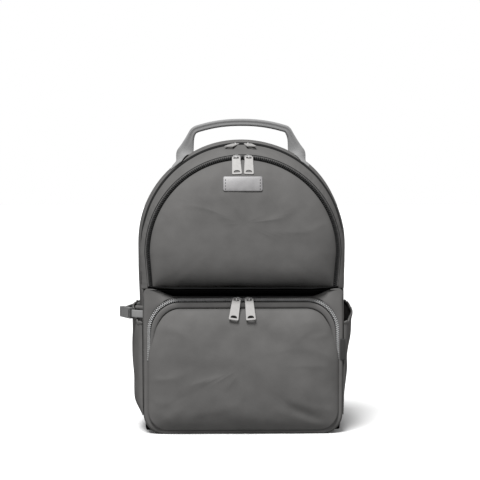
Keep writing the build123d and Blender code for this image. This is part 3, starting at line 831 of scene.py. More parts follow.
def build_gusset():
    """Front gusset: the arched band between the main zip and the upper pocket's zip."""
    count = 230
    steps = 12
    foot = FRAME_TOP_Z - 0.5 * MM
    rows = [ring_line(GUSSET_REAR, ZIP_FRONT_Y, count, 3 * MM, FRAME_TOP_Z)]
    for i in range(steps + 1):
        share = i / steps
        y = lerp(ZIP_FRONT_Y, GUSSET_FRONT_Y, share)
        line = ring_line(mix_rings(GUSSET_REAR, GUSSET_FRONT, share), y, count, 0.0, foot)
        amounts = []
        for k, p in enumerate(line):
            side = 1 - smooth(p.z, 0.225, 0.31)
            puff = (1.5 * MM + 5.2 * MM * side) * sin(pi * share ** (1 + 0.9 * side))
            pucker = 0.9 * MM * sin(k * 1.9) * noise.noise(Vector((k * 0.11, 0, 3))) * (share ** 2)
            slack = uneven(p, 0.035, 1.2 * MM, 7.0) - wrinkles(p, 0.03, 1.3 * MM, 8.0)
            amounts.append(puff + pucker + slack * sin(pi * share))
        rows.append(away_from_middle(line, amounts))
    rows.append(ring_line(GUSSET_FRONT, GUSSET_FRONT_Y, count, 3 * MM, FRAME_TOP_Z))
    cloth("gusset_cloth", rows, "shell_fabric", ("pack", "main_flap"), "front_gusset",
          span=GUSSET_SPAN, thick=CLOTH)


# ---------------------------------------------------------------- pocket panels


def belly(inset, reach):
    """Share of its full depth that a pocket panel has reached at a distance in from its rim."""
    return 1 - exp(-((max(inset, 0.0) / reach) ** 0.78))


UPPER_RIM_INSET = 3.4 * MM                      # from the middle of the upper zip in to its panel's rim
UPPER_RIM_Y = GUSSET_FRONT_Y - 1 * MM
UPPER_DEPTH = UPPER_RIM_Y - BELLY_Y + 1 * MM
UPPER_REACH = 25 * MM                           # the upper panel is mostly full this far in
UPPER_FOOT_Z = FLAP_Z - 1.2 * MM


def build_upper_panel():
    """Upper pocket's panel: full at its lower edge, where it curls under, and sloping to its round top."""
    count = 300
    rim = ring_line(UPPER, 0, count, UPPER_RIM_INSET, FLAP_Z)
    corner_x = rim[-1].x
    base = [Vector((lerp(corner_x, rim[0].x, i / 110), 0, UPPER_FOOT_Z)) for i in range(1, 110)]
    loop = [Vector((p.x, 0, p.z)) for p in rim] + base
    middle = Vector((0, 0, FLAP_Z + 93 * MM))
    shares = (0.0, 0.012, 0.03, 0.055, 0.085, 0.12, 0.16, 0.2, 0.25,
              0.3, 0.36, 0.43, 0.5, 0.58, 0.67, 0.76, 0.86, 0.94)
    rows = [
        [panel_point(edge, middle, share, k >= len(rim), corner_x) for k, edge in enumerate(loop)]
        for share in shares
    ]
    centre = panel_point(middle, middle, 1.0, False, corner_x)
    cloth("upper_panel", rows, "shell_fabric", ("main_flap", "upper_flap"), "upper_pocket_panel",
          span=UPPER_SPAN, closed=True, flat=True, pole=centre)


def panel_point(edge, middle, share, at_base, corner_x):
    """Place on the upper panel at a share of the way in from a point of its outline."""
    flat = edge.lerp(middle, share)
    from_base = flat.z - UPPER_FOOT_Z
    sag = base_sag(edge.x) if at_base else 0.0
    hold = 1 - smooth(abs(edge.x), corner_x - 26 * MM, corner_x)
    side_share = belly(edge_distance(flat), UPPER_REACH)
    curl = 1 - exp(-((max(from_base, 0) / (13 * MM)) ** 0.95))
    if at_base:
        held_z = edge.z + (middle.z - edge.z) * max(share - 0.03, 0) / 0.97 * smooth(share, 0.0, 0.12)
        flat.z = lerp(flat.z, held_z, hold)
        side_share = belly(edge_distance(Vector((flat.x, 0, max(flat.z, FLAP_Z + 6 * MM)))), UPPER_REACH)
    y = UPPER_RIM_Y - UPPER_DEPTH * side_share * curl
    y += uneven(flat, 0.055, 2.2 * MM, 11.0) * side_share * smooth(share, 0.05, 0.3)
    y += uneven(flat, 0.02, 0.5 * MM, 12.0) * smooth(share, 0.02, 0.1)
    y += wrinkles(flat, 0.045, 1.5 * MM, 15.0) * side_share * smooth(share, 0.02, 0.12)
    flat.z += sag * (1 - smooth(share, 0.0, 0.25))
    return Vector((flat.x, y, flat.z))


def ring_width(ring, z):
    """Half the width of a cross-section at height z."""
    if z <= ring.centre:
        return lerp(ring.radius, ring.base_half, (ring.centre - z) / ring.centre)
    up = min(z - ring.centre, ring.radius)
    return (ring.radius ** 2 - up ** 2) ** 0.5


def edge_distance(place):
    """Distance in from the upper pocket's zip line, sides and top."""
    if place.z > UPPER.centre:
        return UPPER.radius - UPPER_RIM_INSET - hypot(place.x, place.z - UPPER.centre)
    return ring_width(UPPER, place.z) - UPPER_RIM_INSET - abs(place.x)


def base_sag(x):
    """The lower edge rises a little at its middle."""
    peak = 2.5 * MM * exp(-((x + 14 * MM) / (22 * MM)) ** 2)
    return peak - 1.0 * MM * smooth(abs(x), 60 * MM, 110 * MM)


def top_share(z):
    """1 on the top of the lower pocket, where the zip lies open to view, and 0 down its sides and base."""
    return smooth(z, 105 * MM, 172 * MM)


def rim_inset_at(z):
    """Distance from the lower zip's middle to the rim of its panel."""
    return lerp(-1.4 * MM, 12.4 * MM, top_share(z))


def lower_depth(place, rim_y, full):
    """Depth of the lower panel's face at a place."""
    rim_inset = rim_inset_at(place.z)
    half = POCKET_HALF - rim_inset
    from_side = half - abs(place.x)
    from_top = POCKET_TOP_Z - rim_inset - place.z
    from_base = place.z - POCKET_BASE_Z - rim_inset * 0.4
    near = min(from_side, from_top)
    corner = POCKET_TOP_CORNER - rim_inset
    if from_side < corner and from_top < corner:
        near = corner - hypot(corner - from_side, corner - from_top)
    share = belly(near, 20 * MM) * (1 - exp(-max(from_base, 0) / (14 * MM)))
    slackness = 1 - 0.16 * smooth(place.z, 0.1, 0.01)
    return rim_y - full * share * slackness


def build_lower_panel():
    """Lower pocket's panel: rounder than the upper, and slack below."""
    count = 280
    rim_y = FRAME_Y - 2.0 * MM
    full = rim_y - LOWER_BELLY_Y - 1 * MM
    outline = pocket_line(0, count)
    insets = [-rim_inset_at(p.z) for p in outline]
    loop = away_from_middle(outline, insets)
    middle = Vector((0, 0, lerp(POCKET_BASE_Z, POCKET_TOP_Z, 0.5)))
    rows = [[Vector((p.x, rim_y + 4 * MM, p.z)) for p in loop]]
    shares = (0.0, 0.012, 0.028, 0.048, 0.07, 0.1, 0.13, 0.17, 0.21, 0.26,
              0.31, 0.37, 0.43, 0.5, 0.58, 0.66, 0.75, 0.84, 0.93)
    for share in shares:
        row = []
        for p in loop:
            flat = p.lerp(middle, share)
            row.append(Vector((flat.x, lower_face(flat, share, rim_y, full), flat.z)))
        rows.append(row)
    pole = Vector((0, lower_face(middle, 1.0, rim_y, full), middle.z))
    cloth("lower_panel", rows, "shell_fabric", ("pack", "lower_flap"), "lower_pocket_panel",
          "lower_pocket_base", span=LOWER_SPAN, closed=True, flat=True, pole=pole)


def build_zip_roll():
    """Soft roll of cloth inside the lower zip, which thins out down the sides."""
    line = pocket_line(FRAME_Y - 1.8 * MM, 260, 0.0, POCKET_BASE_Z + 60 * MM)
    roll_path = away_from_middle(line, [-lerp(2.0 * MM, 7.6 * MM, top_share(p.z)) for p in line])
    widths = [lerp(0.8 * MM, 4.3 * MM, top_share(p.z)) for p in line]

    def section(share):
        """Section of the roll at a share of its length."""
        half = widths[round(share * (len(widths) - 1))]
        return oval(half, 2.1 * MM, 0.4 * MM, 12, 0.8)

    strip("zip_roll", roll_path, section, "shell_fabric", ("pack", "lower_flap"), span=LOWER_SPAN,
          facing=FRONT)


def crease(place, start, end, width, depth):
    """Soft crease in the cloth between two places; positive depth sinks it."""
    line = end - start
    along = min(max((place - start).dot(line) / line.length_squared, 0.0), 1.0)
    gap = (place - (start + line * along)).length
    fade = sin(pi * min(max(along, 0.02), 0.98)) ** 0.5
    return depth * fade * exp(-((gap / width) ** 2))


def lower_face(flat, share, rim_y, full):
    """Depth of the lower panel's face, with its slackness and creases."""
    y = lower_depth(flat, rim_y, full)
    y += uneven(flat, 0.05, 2.6 * MM, 21.0) * smooth(share, 0.03, 0.25)
    y += uneven(flat, 0.018, 0.5 * MM, 22.0) * smooth(share, 0.02, 0.1)
    y += wrinkles(flat, 0.05, 1.9 * MM, 25.0) * smooth(share, 0.02, 0.12)
    inner = smooth(share, 0.02, 0.12)
    # Slack cloth draws into soft folds from the lower corners and under the pulls
    pulls_z = POCKET_TOP_Z - 34 * MM
    for start, run, width, depth in (
        ((POCKET_HALF * 0.86, POCKET_BASE_Z + 12 * MM), (-62, 26), 7 * MM, 2.6 * MM),
        ((-POCKET_HALF * 0.9, POCKET_BASE_Z + 20 * MM), (46, 34), 8 * MM, 2.0 * MM),
        ((-10 * MM, pulls_z), (-34, -40), 9 * MM, 1.6 * MM),
        ((16 * MM, pulls_z), (42, -34), 10 * MM, 1.6 * MM),
    ):
        top = Vector((start[0], 0, start[1]))
        y += inner * crease(flat, top, top + Vector((run[0], 0, run[1])) * MM, width, depth)
    return y


# ---------------------------------------------------------------- zips

TOOTH_PITCH = 2.8 * MM
TOOTH = (1.5 * MM, 2.9 * MM, 1.6 * MM)


def zip_half(name, line, side, lift, facing, across, tape_width, body, span=None):
    """Tape and teeth of one half of a zip. side is +1 or -1 from the middle line."""
    # The main and upper zips' teeth take the near-black tape finish, partly their own dark colour and partly
    # painted shade for the shadowed gaps they sit in; the lower zip's teeth keep the lighter coil finish.
    coil = MATERIALS["zip_coil"] if name.startswith("lower") else MATERIALS["zip_tape"]
    tape_middle = side * (0.6 * MM + tape_width / 2)
    section = [(tape_middle + s, o) for s, o in oval(tape_width / 2, 0.5 * MM, 0.0, 8, 0.6)]
    strip(f"{name}_tape_cloth", line, section, "zip_tape", body, name.replace("_zip_", "_zip_tape_"),
          span=span, facing=facing, across=across)
    teeth = beads(
        f"{name}_teeth", line, TOOTH_PITCH, TOOTH, coil, facing, across,
        late=side > 0, lift=lift, side_shift=side * 1.0 * MM,
    )
    settle(teeth, "zip_coil", body, name.replace("_zip_", "_zip_coil_"), span=span)


def build_zips():
    """All three zips, each half on the body that it is sewn to."""
    main_line = ring_line(MAIN, 0.0, 300, 1.6 * MM, FLAP_Z)
    zip_half("main_zip_rear", main_line, 1, 0.3 * MM, None, BACK, 6 * MM, "pack")
    zip_half("main_zip_front", main_line, -1, 0.3 * MM, None, BACK, 6 * MM, ("pack", "main_flap"),
             GUSSET_SPAN)
    # Near-black strip standing just behind the main zip: painted shade, for the dark line between the zip and
    # the rear band.
    shadow_strip_line = ring_line(MAIN, ZIP_REAR_Y - 0.6 * MM, 260, -1.4 * MM, FLAP_Z)
    strip("main_zip_shadow_strip", shadow_strip_line, oval(0.5 * MM, 2.6 * MM), "zip_tape", "pack", across=BACK)
    upper_line = ring_line(UPPER, GUSSET_FRONT_Y + 0.5 * MM, 280, 0.0, FLAP_Z)
    zip_half("upper_zip_outer", upper_line, -1, 0.5 * MM, FRONT, None, 4 * MM, "main_flap")
    zip_half("upper_zip_inner", upper_line, 1, 0.5 * MM, FRONT, None, 5 * MM, ("main_flap", "upper_flap"),
             UPPER_SPAN)
    lower_line = pocket_line(FRAME_Y + 1 * MM, 280, 0.0, FOLD_Z)
    zip_half("lower_zip_outer", lower_line, -1, 1.2 * MM, FRONT, None, 4 * MM, "pack")
    zip_half("lower_zip_inner", lower_line, 1, 1.4 * MM, FRONT, None, 6 * MM, ("pack", "lower_flap"),
             LOWER_SPAN)


# ---------------------------------------------------------------- sliders and pulls

PULL_TILT = {"main": 5.0, "upper": -34.0, "lower": -25.0}
PULL_LENGTH = {"main": 27 * MM, "upper": 27 * MM, "lower": 30 * MM}
PULL_LEAN = {"main": (-22, 10), "upper": (-1.5, 2.0), "lower": (-8.5, 4.5)}
PULL_SINK = {"main": 3 * MM, "upper": 0.0, "lower": -1.2 * MM}      # the loose pull rests this far down
PULL_TOP = 11 * MM
PULL_TIP = 13.4 * MM
JOINTS = {joint["name"]: joint for joint in frame["record"]["behaviour"]["joints"]}


def closed_spline(curve, points):
    """Adds a closed outline to a curve."""
    spline = curve.splines.new("POLY")
    spline.points.add(len(points) - 1)
    for target, (x, y) in zip(spline.points, points):
        target.co = (x, y, 0, 1)
    spline.use_cyclic_u = True


def rounded(corners, radius, steps=5):
    """Polygon with each corner rounded."""
    result = []
    count = len(corners)
    for i in range(count):
        here = Vector(corners[i])
        before = (Vector(corners[i - 1]) - here).normalized()
        after = (Vector(corners[(i + 1) % count]) - here).normalized()
        for k in range(steps + 1):
            share = k / steps
            a = here + before * radius * (1 - share) ** 2
            b = here + after * radius * share ** 2
            result.append(tuple(a + b - here))
    return result


def flat_plate(name, outlines, thick, material, matrix):
    """Bevelled plate with holes, from flat outlines, placed by a matrix."""
    curve = bpy.data.curves.new(name, "CURVE")
    curve.dimensions = "2D"
    curve.fill_mode = "BOTH"
    bevel = 0.3 * MM
    curve.extrude = thick / 2 - bevel
    curve.bevel_depth = bevel
    curve.bevel_resolution = 2
    for outline in outlines:
        closed_spline(curve, outline)
    curve.materials.append(material)
    piece = bpy.data.objects.new(name, curve)
    piece.matrix_world = matrix
    bpy.context.collection.objects.link(piece)
    return piece


def pin_frame(kind, word, tilt):
    """Matrix at a pull's pin: x along the pin, y back from the tip, z out of the face."""
    joint = JOINTS[f"{kind}_pull_{word}_swing"]
    along = -Vector(joint["axis"])
    out = along.cross(BACK) if kind == "main" else FRONT.copy()
    back = out.cross(along)
    matrix = Matrix((along, back, out)).transposed().to_4x4()
    matrix.translation = Vector(joint["pos_m"]) - out * PULL_SINK[kind]
    return matrix @ Matrix.Rotation(radians(tilt), 4, "X")


def build_pull(kind, side, word):
    """Plate with an eye at its top and a half-round window at its tip."""
    length = PULL_LENGTH[kind]
    lean = PULL_LEAN[kind][0 if side < 0 else 1]
    top = 1.9 * MM
    corners = [(-PULL_TOP / 2, top), (PULL_TOP / 2, top), (PULL_TIP / 2, -length), (-PULL_TIP / 2, -length)]
    eye_half, eye_top, eye_low = 4.1 * MM, 0.9 * MM, -1.7 * MM
    eye_corners = [(-eye_half, eye_top), (eye_half, eye_top), (eye_half, eye_low), (-eye_half, eye_low)]
    eye = rounded(eye_corners, 0.9 * MM)
    window_half = 4.9 * MM
    window_height = 4.4 * MM
    window_low = -length + 2.2 * MM
    window = [(window_half, window_low), (-window_half, window_low)] + [
        (-window_half * cos(t), window_low + window_height * sin(t) ** 0.7) for t in arc_steps(pi, 14)[1:-1]
    ]
    matrix = pin_frame(kind, word, PULL_TILT[kind]) @ Matrix.Rotation(radians(lean), 4, "Z")
    pull = flat_plate(f"{kind}_pull_{word}_plate", [rounded(corners, 1.7 * MM), eye, window], 1.6 * MM,
                      MATERIALS["pull_metal"], matrix)
    settle(pull, "pull_metal", f"{kind}_pull_{word}", f"{kind}_pull_{word}")


def build_slider(kind, side, word):
    """Slider body with its arched crown, under the pull's eye."""
    pin_height = 4.2 * MM
    matrix = pin_frame(kind, word, 0.0)
    nose = -side
    corners = [(nose * 6.4 * MM, 2.2 * MM), (nose * 6.4 * MM, -2.2 * MM), (nose * 2 * MM, -3.9 * MM),
               (-nose * 4.4 * MM, -3.2 * MM), (-nose * 4.4 * MM, 3.2 * MM), (nose * 2 * MM, 3.9 * MM)]
    lift = Matrix.Translation((0, 0, -pin_height + 1.0 * MM))
    body = flat_plate(f"{kind}_slider_{word}_body", [rounded(corners, 1.2 * MM)], 2.4 * MM,
                      MATERIALS["slider_metal"], matrix @ lift)
    settle(body, "slider_metal", f"{kind}_slider_{word}", f"{kind}_slider_{word}")
    arch = [
        matrix @ Vector((0, 3.2 * MM * cos(t), -0.9 * MM + 2.7 * MM * sin(t)))
        for t in (pi * (-0.25 + 1.5 * i / 18) for i in range(19))
    ]
    across = (matrix.to_3x3() @ Vector((1, 0, 0))).normalized()
    strip(f"{kind}_slider_{word}_crown", arch, oval(0.9 * MM, 0.5 * MM, 0.0, 8, 0.7), "slider_metal",
          f"{kind}_slider_{word}", across=across)


def build_sliders():
    """Two sliders with their pulls on each of the three zips."""
    for kind in ("main", "upper", "lower"):
        for side, word in SIDES:
            build_pull(kind, side, word)
            build_slider(kind, side, word)


# ---------------------------------------------------------------- handle


def build_handle():
    """One strip of webbing: flat legs that fold up into a thick grip, sewn down on the gusset."""
    middle_y = (low("carry_handle")[1] + high("carry_handle")[1]) / 2
    top = high("carry_handle")[2] - 5.5 * MM
    left = [
        Vector((-96 * MM, ZIP_REAR_Y + 3 * MM, 0.379)), Vector((-92 * MM, ZIP_REAR_Y + 14 * MM, 0.3855)),
        Vector((-86.5 * MM, middle_y - 13 * MM, 0.391)), Vector((-81 * MM, middle_y - 3 * MM, 0.401)),
        Vector((-76 * MM, middle_y, 0.418)), Vector((-71.5 * MM, middle_y, 0.4285)),
    ]
    grip_end = 66 * MM
    drop = top - (left[-1].z + 4 * MM)
    arch = [
        Vector((x, middle_y, top - drop * (abs(x) / grip_end) ** 2.2))
        for x in (lerp(-grip_end, grip_end, i / 24) for i in range(25))
    ]
    right = [Vector((-p.x - 2 * MM, p.y, p.z)) for p in reversed(left)]
    line = resample(smooth_line(left + arch + right, 3), 110)
    facings = []
    for point in line:
        lying = smooth(-point.y, -(middle_y - 2 * MM), -(middle_y - 16 * MM))
        radial = Vector((point.x, 0, point.z - REAR.centre)).normalized()
        facings.append(FRONT.lerp(radial, lying).normalized())

    def section(share):
        """Flat at the ends and folded double in the grip."""
        near_end = min(share, 1 - share)
        fold = smooth(near_end, 0.11, 0.24)
        half_side = lerp(12.6 * MM, 5.4 * MM, fold)
        half_out = lerp(1.1 * MM, 4.6 * MM, fold)
        shape = oval(half_side, half_out, 0.0, 16, lerp(0.45, 0.85, fold))
        # A crease along the middle of the grip, where the webbing's two edges meet
        return [(s + 0.9 * MM * fold, o * (1 - 0.42 * fold * exp(-(s / (1.2 * MM)) ** 2))) for s, o in shape]

    hinge_z = JOINTS["handle_swing"]["pos_m"][2]
    span = (Vector((0, 0, hinge_z - 2 * MM)), Vector((0, 0, hinge_z + 16 * MM)))
    strip("handle_webbing", line, section, "webbing", ("pack", "handle"), "carry_handle", span=span,
          facing=facings)
    build_handle_feet(middle_y)


def build_handle_feet(middle_y):
    """Webbing sewn down on the rear band behind each leg of the handle."""
    depth = REAR_Y - ZIP_REAR_Y
    for side, word in SIDES:
        rows = []
        for i in range(9):
            reach = i / 8
            turn = radians(lerp(32.5, 37.0, reach)) * side
            row = []
            for k in range(7):
                across = k / 6
                y = lerp(middle_y - 2 * MM, REAR_Y - 1 * MM, across)
                back = (y - ZIP_REAR_Y) / depth
                ring = mix_rings(REAR_EDGE, REAR, back)
                radius = ring.radius + 3.6 * MM * sin(pi * back) ** 0.7 + 0.7 * MM
                row.append(Vector((radius * sin(turn), y, ring.centre + radius * cos(turn))))
            rows.append(row)
        nodes = ("handle_anchors",) if side < 0 else ()
        cloth(f"handle_foot_{word}", rows, "webbing", "pack", *nodes, thick=1.4 * MM)


# ---------------------------------------------------------------- patch and tag


def patch_point(x, z, out):
    """Place a height out from the upper panel's face, above its lower curl."""
    place = Vector((x, 0, z))
    side_share = belly(edge_distance(place), UPPER_REACH)
    slack = uneven(place, 0.055, 2.2 * MM, 11.0) * side_share
    return Vector((x, UPPER_RIM_Y - UPPER_DEPTH * side_share + slack - out, z))


def build_patch():
    """Plain leather patch, curved with the panel and stitched down at both ends."""
    x0, z0 = low("leather_patch")[0], low("leather_patch")[2]
    x1, z1 = high("leather_patch")[0], high("leather_patch")[2]
    outline = rounded_rectangle(x0, z0, x1, z1, 2.2 * MM, 96)
    middle = Vector(((x0 + x1) / 2, 0, (z0 + z1) / 2))
    rows = []
    for scale, out in ((1.0, -0.6), (1.0, 1.1), (0.985, 1.75), (0.95, 1.9),
                       (0.8, 2.0), (0.6, 2.05), (0.4, 2.1), (0.2, 2.1)):
        row = [middle.lerp(p, scale) for p in outline]
        rows.append([patch_point(place.x, place.z, out * MM) for place in row])
    pole = patch_point(middle.x, middle.z, 2.1 * MM)
    cloth("patch_leather_piece", rows, "patch_leather", "upper_flap", "leather_patch",
          closed=True, flat=True, pole=pole)
    stitch_size = (2.2 * MM, 0.8 * MM, 0.35 * MM)
    for number, x in enumerate((x0 + 3.5 * MM, x1 - 3.5 * MM)):
        line = [patch_point(x, lerp(z0 + 3 * MM, z1 - 3 * MM, i / 12), 1.95 * MM) for i in range(13)]
        stitch = beads(f"patch_stitch_{number}", line, 3.2 * MM, stitch_size, PATCH_THREAD, facing=FRONT)
        settle(stitch, "patch_leather", "upper_flap")


def build_tag():
    """Plain folded loop of tape in the right side seam."""
    (x0, y0, z0), (x1, y1, z1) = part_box("side_tag")
    middle_y = (y0 + y1) / 2
    line = [
        Vector((lerp(x0, x1 - 1 * MM, i / 10), middle_y - 0.6 * MM * sin(pi * i / 10), (z0 + z1) / 2))
        for i in range(11)
    ]
    strip("tag_loop", line, oval((z1 - z0) / 2, 0.9 * MM, 0.0, 16, 0.45), "tag_fabric", "pack", "side_tag",
          facing=FRONT)


# ---------------------------------------------------------------- side pockets and side strap

# Fullness at the hem, at a third of the height and just above the base
POCKET_FULLNESS = {-1: (12.5 * MM, 13.0 * MM, 11.5 * MM), 1: (13.0 * MM, 6.0 * MM, 1.5 * MM)}


def pocket_bulge(side, share_up):
    """How far a side pocket stands off the side panel."""
    top, third, foot = POCKET_FULLNESS[side]
    if share_up > 0.5:
        full = lerp(third, top, smooth(share_up, 0.5, 1.0))
    else:
        full = lerp(foot, third, smooth(share_up, 0.1, 0.5))
    return full * smooth(share_up, -0.02, 0.14) ** 0.7


def build_side_pockets():
    """Open pocket on each side with an elastic hem that rises towards the back."""
    for side, word in SIDES:
        node = f"side_pocket_{word}"
        base_z = low(node)[2] - 12 * MM
        top_z = high(node)[2]
        columns = 44
        rows = []
        levels = 30
        for r in range(levels + 1):
            up = r / levels
            row = []
            for c in range(columns + 1):
                share = c / columns
                y = lerp(FRAME_Y + 2 * MM, REAR_Y - 2 * MM, share)
                hem_wave = 1.2 * MM * sin(c * 1.7) if r > levels - 4 else 0
                z = lerp(base_z, lerp(top_z - 20 * MM, top_z, share) + hem_wave, up)
                across = abs(sin(pi * share)) ** 0.45
                wall = side_half(share, z)
                puff = pocket_bulge(side, up) * across
                place = Vector((side * 0.15, y, z))
                ripple = uneven(place, 0.03, 2.2 * MM, 31.0 + side) * across * smooth(up, 0.05, 0.3)
                gather = 0.5 * MM * sin(c * 2.1) * smooth(up, 0.86, 1.0)
                row.append(Vector((side * (wall + 1.2 * MM + puff + ripple + gather), y, z)))
            rows.append(row)
        cloth(f"pocket_cloth_{word}", rows, "shell_fabric", "pack", node, thick=1.3 * MM)
        strip(f"pocket_hem_{word}", resample(rows[-1], 80), oval(3.2 * MM, 1.5 * MM, 0.0, 10, 0.7),
              "shell_fabric", "pack", facing=Vector((side, 0, 0)))


def build_side_strap():
    """Webbing out of the front seam, through the buckle and back to the rear seam."""
    (x0, y0, z0), (x1, y1, z1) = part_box("side_strap_front")
    z = (z0 + z1) / 2
    half = (z1 - z0) / 2
    webbing = oval(half, 1.0 * MM, 0.0, 12, 0.45)
    facing = Vector((-0.5, -1, 0)).normalized()
    path = ((x1 + 2 * MM, y0 + 0.5 * MM), (x0 + 1 * MM, y1 - 1 * MM), (x0 - 2 * MM, y1 + 5 * MM))
    line = resample([Vector((x, y, z)) for x, y in path], 14)
    strip("strap_front_webbing", line, webbing, "webbing", "pack", "side_strap_front", facing=facing)
    fold_line = [p + Vector((1 * MM, 0, 9.5 * MM)) for p in line[:9]]
    strip("strap_front_fold", fold_line, oval(half * 0.45, 2.2 * MM, 0.0, 12, 0.6), "shell_fabric", "pack",
          facing=facing)
    rear_x, rear_y = high("side_strap_rear")[0], high("side_strap_rear")[1]
    buckle_x = low("side_buckle_male")[0] + 2.5 * MM
    buckle_y = high("side_buckle_male")[1] - 2 * MM
    path = ((buckle_x, buckle_y), (rear_x - 8.53 * MM, rear_y - 13 * MM), (rear_x + 1 * MM, rear_y))
    line = resample([Vector((x, y, z)) for x, y in path], 30)
    span = (Vector((0, rear_y - 6 * MM, 0)), Vector((0, buckle_y, 0)))
    strip("strap_rear_webbing", line, webbing, "webbing", ("pack", "side_buckle"), "side_strap_rear",
          span=span, facing=Vector((-1, 0, 0)))


def soften(node, width, material):
    """Bevels a carried-over CAD node and gives it its finish."""
    piece = frame["nodes"][node]
    bevel = piece.modifiers.new("bevel", "BEVEL")
    bevel.width = width
    bevel.segments = 3
    bevel.limit_method = "ANGLE"
    piece.data.materials.clear()
    piece.data.materials.append(material)


# ---------------------------------------------------------------- shoulder straps


# Distance down the strap and height out from its chord, in millimetres
PAD_PATH = ((-6, -1), (8, 2.5), (26, 9.5), (60, 19), (100, 26), (140, 27), (180, 24.5), (215, 20),
            (246, 16.5))
WEB_PATH = ((238, 16), (256, 15.5), (275, 14), (300, 11.5), (325, 8), (343, 4.5), (352, 1.5))


def pad_half_width(share, top_half, full_half, narrowing):
    """Half the width of the strap pad, or of its stitch lines, at a share of its length."""
    return lerp(top_half, full_half, smooth(share, 0.06, 0.34)) - narrowing * smooth(share, 0.8, 1.0)


def pad_section(share):
    """Section of the strap pad: thick in the middle, with flat bound edges."""
    half = pad_half_width(share, 14 * MM, 27 * MM, 4.5 * MM)
    thick = lerp(2.2 * MM, 4.8 * MM, smooth(share, 0.02, 0.2)) * (1 - 0.45 * smooth(share, 0.93, 1.0))
    return [(s, o * (0.42 if abs(s) > half * 0.93 else 1.0)) for s, o in oval(half, thick, 0.0, 24, 0.62)]


def build_strap(side, word):
    """Padded shoulder strap with its stitches, its webbing and its ladder lock."""
    top = Vector(JOINTS[f"strap_{word}_swing"]["pos_m"])
    foot = Vector((side * 124 * MM, REAR_Y + 12.5 * MM, 42 * MM))
    along = (foot - top).normalized()
    sideways = along.cross(BACK).normalized()
    out = sideways.cross(along)

    def at(distance, height):
        """Place down the strap from its top and out from its chord, in millimetres."""
        return top + along * distance * MM + out * height * MM

    line = resample(smooth_line([at(d, h) for d, h in PAD_PATH]), 60)
    pad = sweep(f"strap_pad_cloth_{word}", line, pad_section, MATERIALS["shell_fabric"], facing=out)
    settle(pad, "shell_fabric", ("pack", f"strap_{word}"), f"strap_pad_{word}", span=(at(-6, 0), at(30, 0)))
    for edge, name in ((-1, "inner"), (1, "outer")):
        stitch_line = [
            p + sideways * edge * pad_half_width(i / 59, 11 * MM, 22.5 * MM, 4 * MM)
            + out * 4.2 * MM * smooth(i / 59, 0.0, 0.2)
            for i, p in enumerate(line)
        ][8:58]
        stitch = beads(f"strap_stitch_{word}_{name}", stitch_line, 4.2 * MM, (2.8 * MM, 0.7 * MM, 0.5 * MM),
                       THREAD, facing=out)
        settle(stitch, "shell_fabric", f"strap_{word}")
    web_line = resample(smooth_line([at(d, h) for d, h in WEB_PATH]), 40)
    strip(f"strap_web_{word}", web_line, oval(10 * MM, 1.0 * MM, 0.0, 14, 0.45), "webbing",
          ("pack", f"strap_{word}"), f"strap_webbing_{word}", span=(at(356, 0), at(325, 0)), facing=out)
    soften(f"ladder_lock_{word}", 1.2 * MM, MATERIALS["buckle_plastic"])


def smooth_line(points, steps=8):
    """Smooth curve through a few points."""
    result = []
    for i in range(len(points) - 1):
        p0 = points[max(i - 1, 0)]
        p1, p2 = points[i], points[i + 1]
        p3 = points[min(i + 2, len(points) - 1)]
        for k in range(steps):
            t = k / steps
            result.append(0.5 * (2 * p1 + (p2 - p0) * t + (2 * p0 - 5 * p1 + 4 * p2 - p3) * t ** 2
                                 + (3 * p1 - p0 - 3 * p2 + p3) * t ** 3))
    result.append(points[-1])
    return result


# ---------------------------------------------------------------- linings


def build_linings():
    """Thin loose linings for the inner walls."""
    flat_lining("divider_lining", "pocket_divider", "pack", 4 * MM)
    flat_lining("flap_lining", "flap_divider", "main_flap", 4 * MM, arched=True)
    (x0, y0, z0), (x1, y1, z1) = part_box("laptop_sleeve")
    rows = []
    for r in range(25):
        z = lerp(z0, z1, r / 24)
        row = [Vector((lerp(x0, x1, i / 40), y0, z)) for i in range(41)]
        for p in row[1:-1]:
            p.y += uneven(Vector((p.x, 0, z)), 0.06, 1.5 * MM, 41.0)
        row[0].y = y1
        row[-1].y = y1
        rows.append(row)
    cloth("sleeve_lining", rows, "lining_fabric", "pack", "laptop_sleeve", flat=True, thick=1.4 * MM)
    (x0, y0, z0), (x1, y1, z1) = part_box("upper_pocket_floor")
    rows = []
    for r in range(13):
        y = lerp(y1, y0 + 2 * MM, r / 12)
        half = lerp(x1, 98 * MM, smooth(r / 12, 0.5, 1.0))
        rows.append([
            Vector((half * s, y, (z0 + z1) / 2 + uneven(Vector((half * s, y, 0)), 0.04, 0.8 * MM, 43.0)))
            for s in (i / 24 for i in range(-24, 25))
        ])
    cloth("pocket_floor_lining", rows, "lining_fabric", "main_flap", "upper_pocket_floor", thick=CLOTH)
    soften("base_board", 1 * MM, MATERIALS["board_plastic"])


def flat_lining(name, node, body, sag, arched=False):
    """Upright lining across the bag, billowing a little."""
    y0, z0 = low(node)[1], low(node)[2]
    x1, y1, z1 = high(node)
    middle_y = (y0 + y1) / 2
    rows = []
    for r in range(25):
        z = lerp(z0, z1 - (0.5 * MM if arched else 0), r / 24)
        half = min(x1, ring_width(Ring(x1, MAIN_CENTRE, x1), z)) if arched else x1
        rows.append([
            Vector((x, middle_y + uneven(Vector((x, 0, z)), 0.07, sag / 2, 44.0), z))
            for x in (half * i / 24 for i in range(-24, 25))
        ])
    if not arched:
        top_row = rows[-1]
        for step in range(1, 7):
            rows.append([Vector((p.x, lerp(middle_y, y0, step / 6), z1)) for p in top_row])
    cloth(name, rows, "lining_fabric", body, node, flat=arched, thick=CLOTH)


# ---------------------------------------------------------------- stage, light and camera


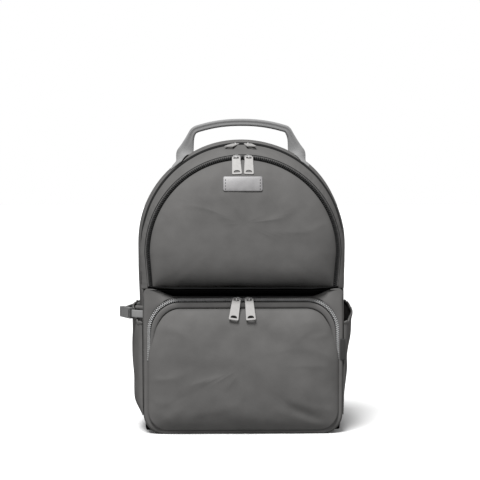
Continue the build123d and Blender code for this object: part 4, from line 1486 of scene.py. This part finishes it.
def build_stage():
    """Plain pale floor."""
    rows = [[Vector((x, y, 0)) for x in (-6.0, 0.0, 6.0)] for y in (-6.0, 0.0, 6.0)]
    material, tree, shader = start_material("floor", 0.9)
    tint(tree, shader, noise_at(tree, object_place(tree), 3.0), grey(0.34), 0.01)
    floor = grid("floor", rows, material, levels=0)


def add_sun(name, azimuth, elevation, spread, strength):
    """Soft distant light; azimuth is measured from the front, and all angles are in degrees."""
    light = bpy.data.lights.new(name, "SUN")
    light.angle = radians(spread)
    light.energy = strength
    lamp = bpy.data.objects.new(name, light)
    level = cos(radians(elevation))
    source = Vector((level * sin(radians(azimuth)), -level * cos(radians(azimuth)), sin(radians(elevation))))
    lamp.rotation_euler = (-source).to_track_quat("-Z", "Y").to_euler()
    bpy.context.collection.objects.link(lamp)


def build_light():
    """White surround, and one high soft light from the front and a little to the left."""
    world = bpy.data.worlds.new("studio")
    bpy.context.scene.world = world
    world.use_nodes = True
    background = world.node_tree.nodes["Background"]
    background.inputs["Color"].default_value = (1, 1, 1, 1)
    background.inputs["Strength"].default_value = 1.0
    add_sun("key_light", -20, 61, 24, 11.2)
    bpy.context.scene.view_settings.view_transform = "Standard"


def build_camera():
    """Camera at the photograph's viewing angle."""
    distance = 3.0
    elevation = radians(4.0)
    azimuth = radians(-1.5)
    target = Vector((-4.3 * MM, -40 * MM, 275.5 * MM))
    away = Vector((sin(azimuth) * cos(elevation), -cos(azimuth) * cos(elevation), sin(elevation)))
    camera = bpy.data.cameras.new("camera")
    camera.lens = 158.0
    camera.sensor_width = 36.0
    holder = bpy.data.objects.new("camera", camera)
    holder.location = target + away * distance
    holder.rotation_euler = (-away).to_track_quat("-Z", "Y").to_euler()
    bpy.context.collection.objects.link(holder)
    bpy.context.scene.camera = holder


build_rear_band()
build_lower_shell()
build_back()
build_wings()
build_front_frame()
build_fold_strip()
build_gusset()
build_upper_panel()
build_lower_panel()
build_zip_roll()
build_zips()
build_sliders()
build_handle()
build_patch()
build_tag()
build_side_pockets()
build_side_strap()
for side, word in SIDES:
    build_strap(side, word)
build_linings()
soften("side_buckle_female", 1.3 * MM, MATERIALS["buckle_plastic"])
soften("side_buckle_male", 1.0 * MM, MATERIALS["buckle_plastic"])
build_stage()
build_light()
build_camera()
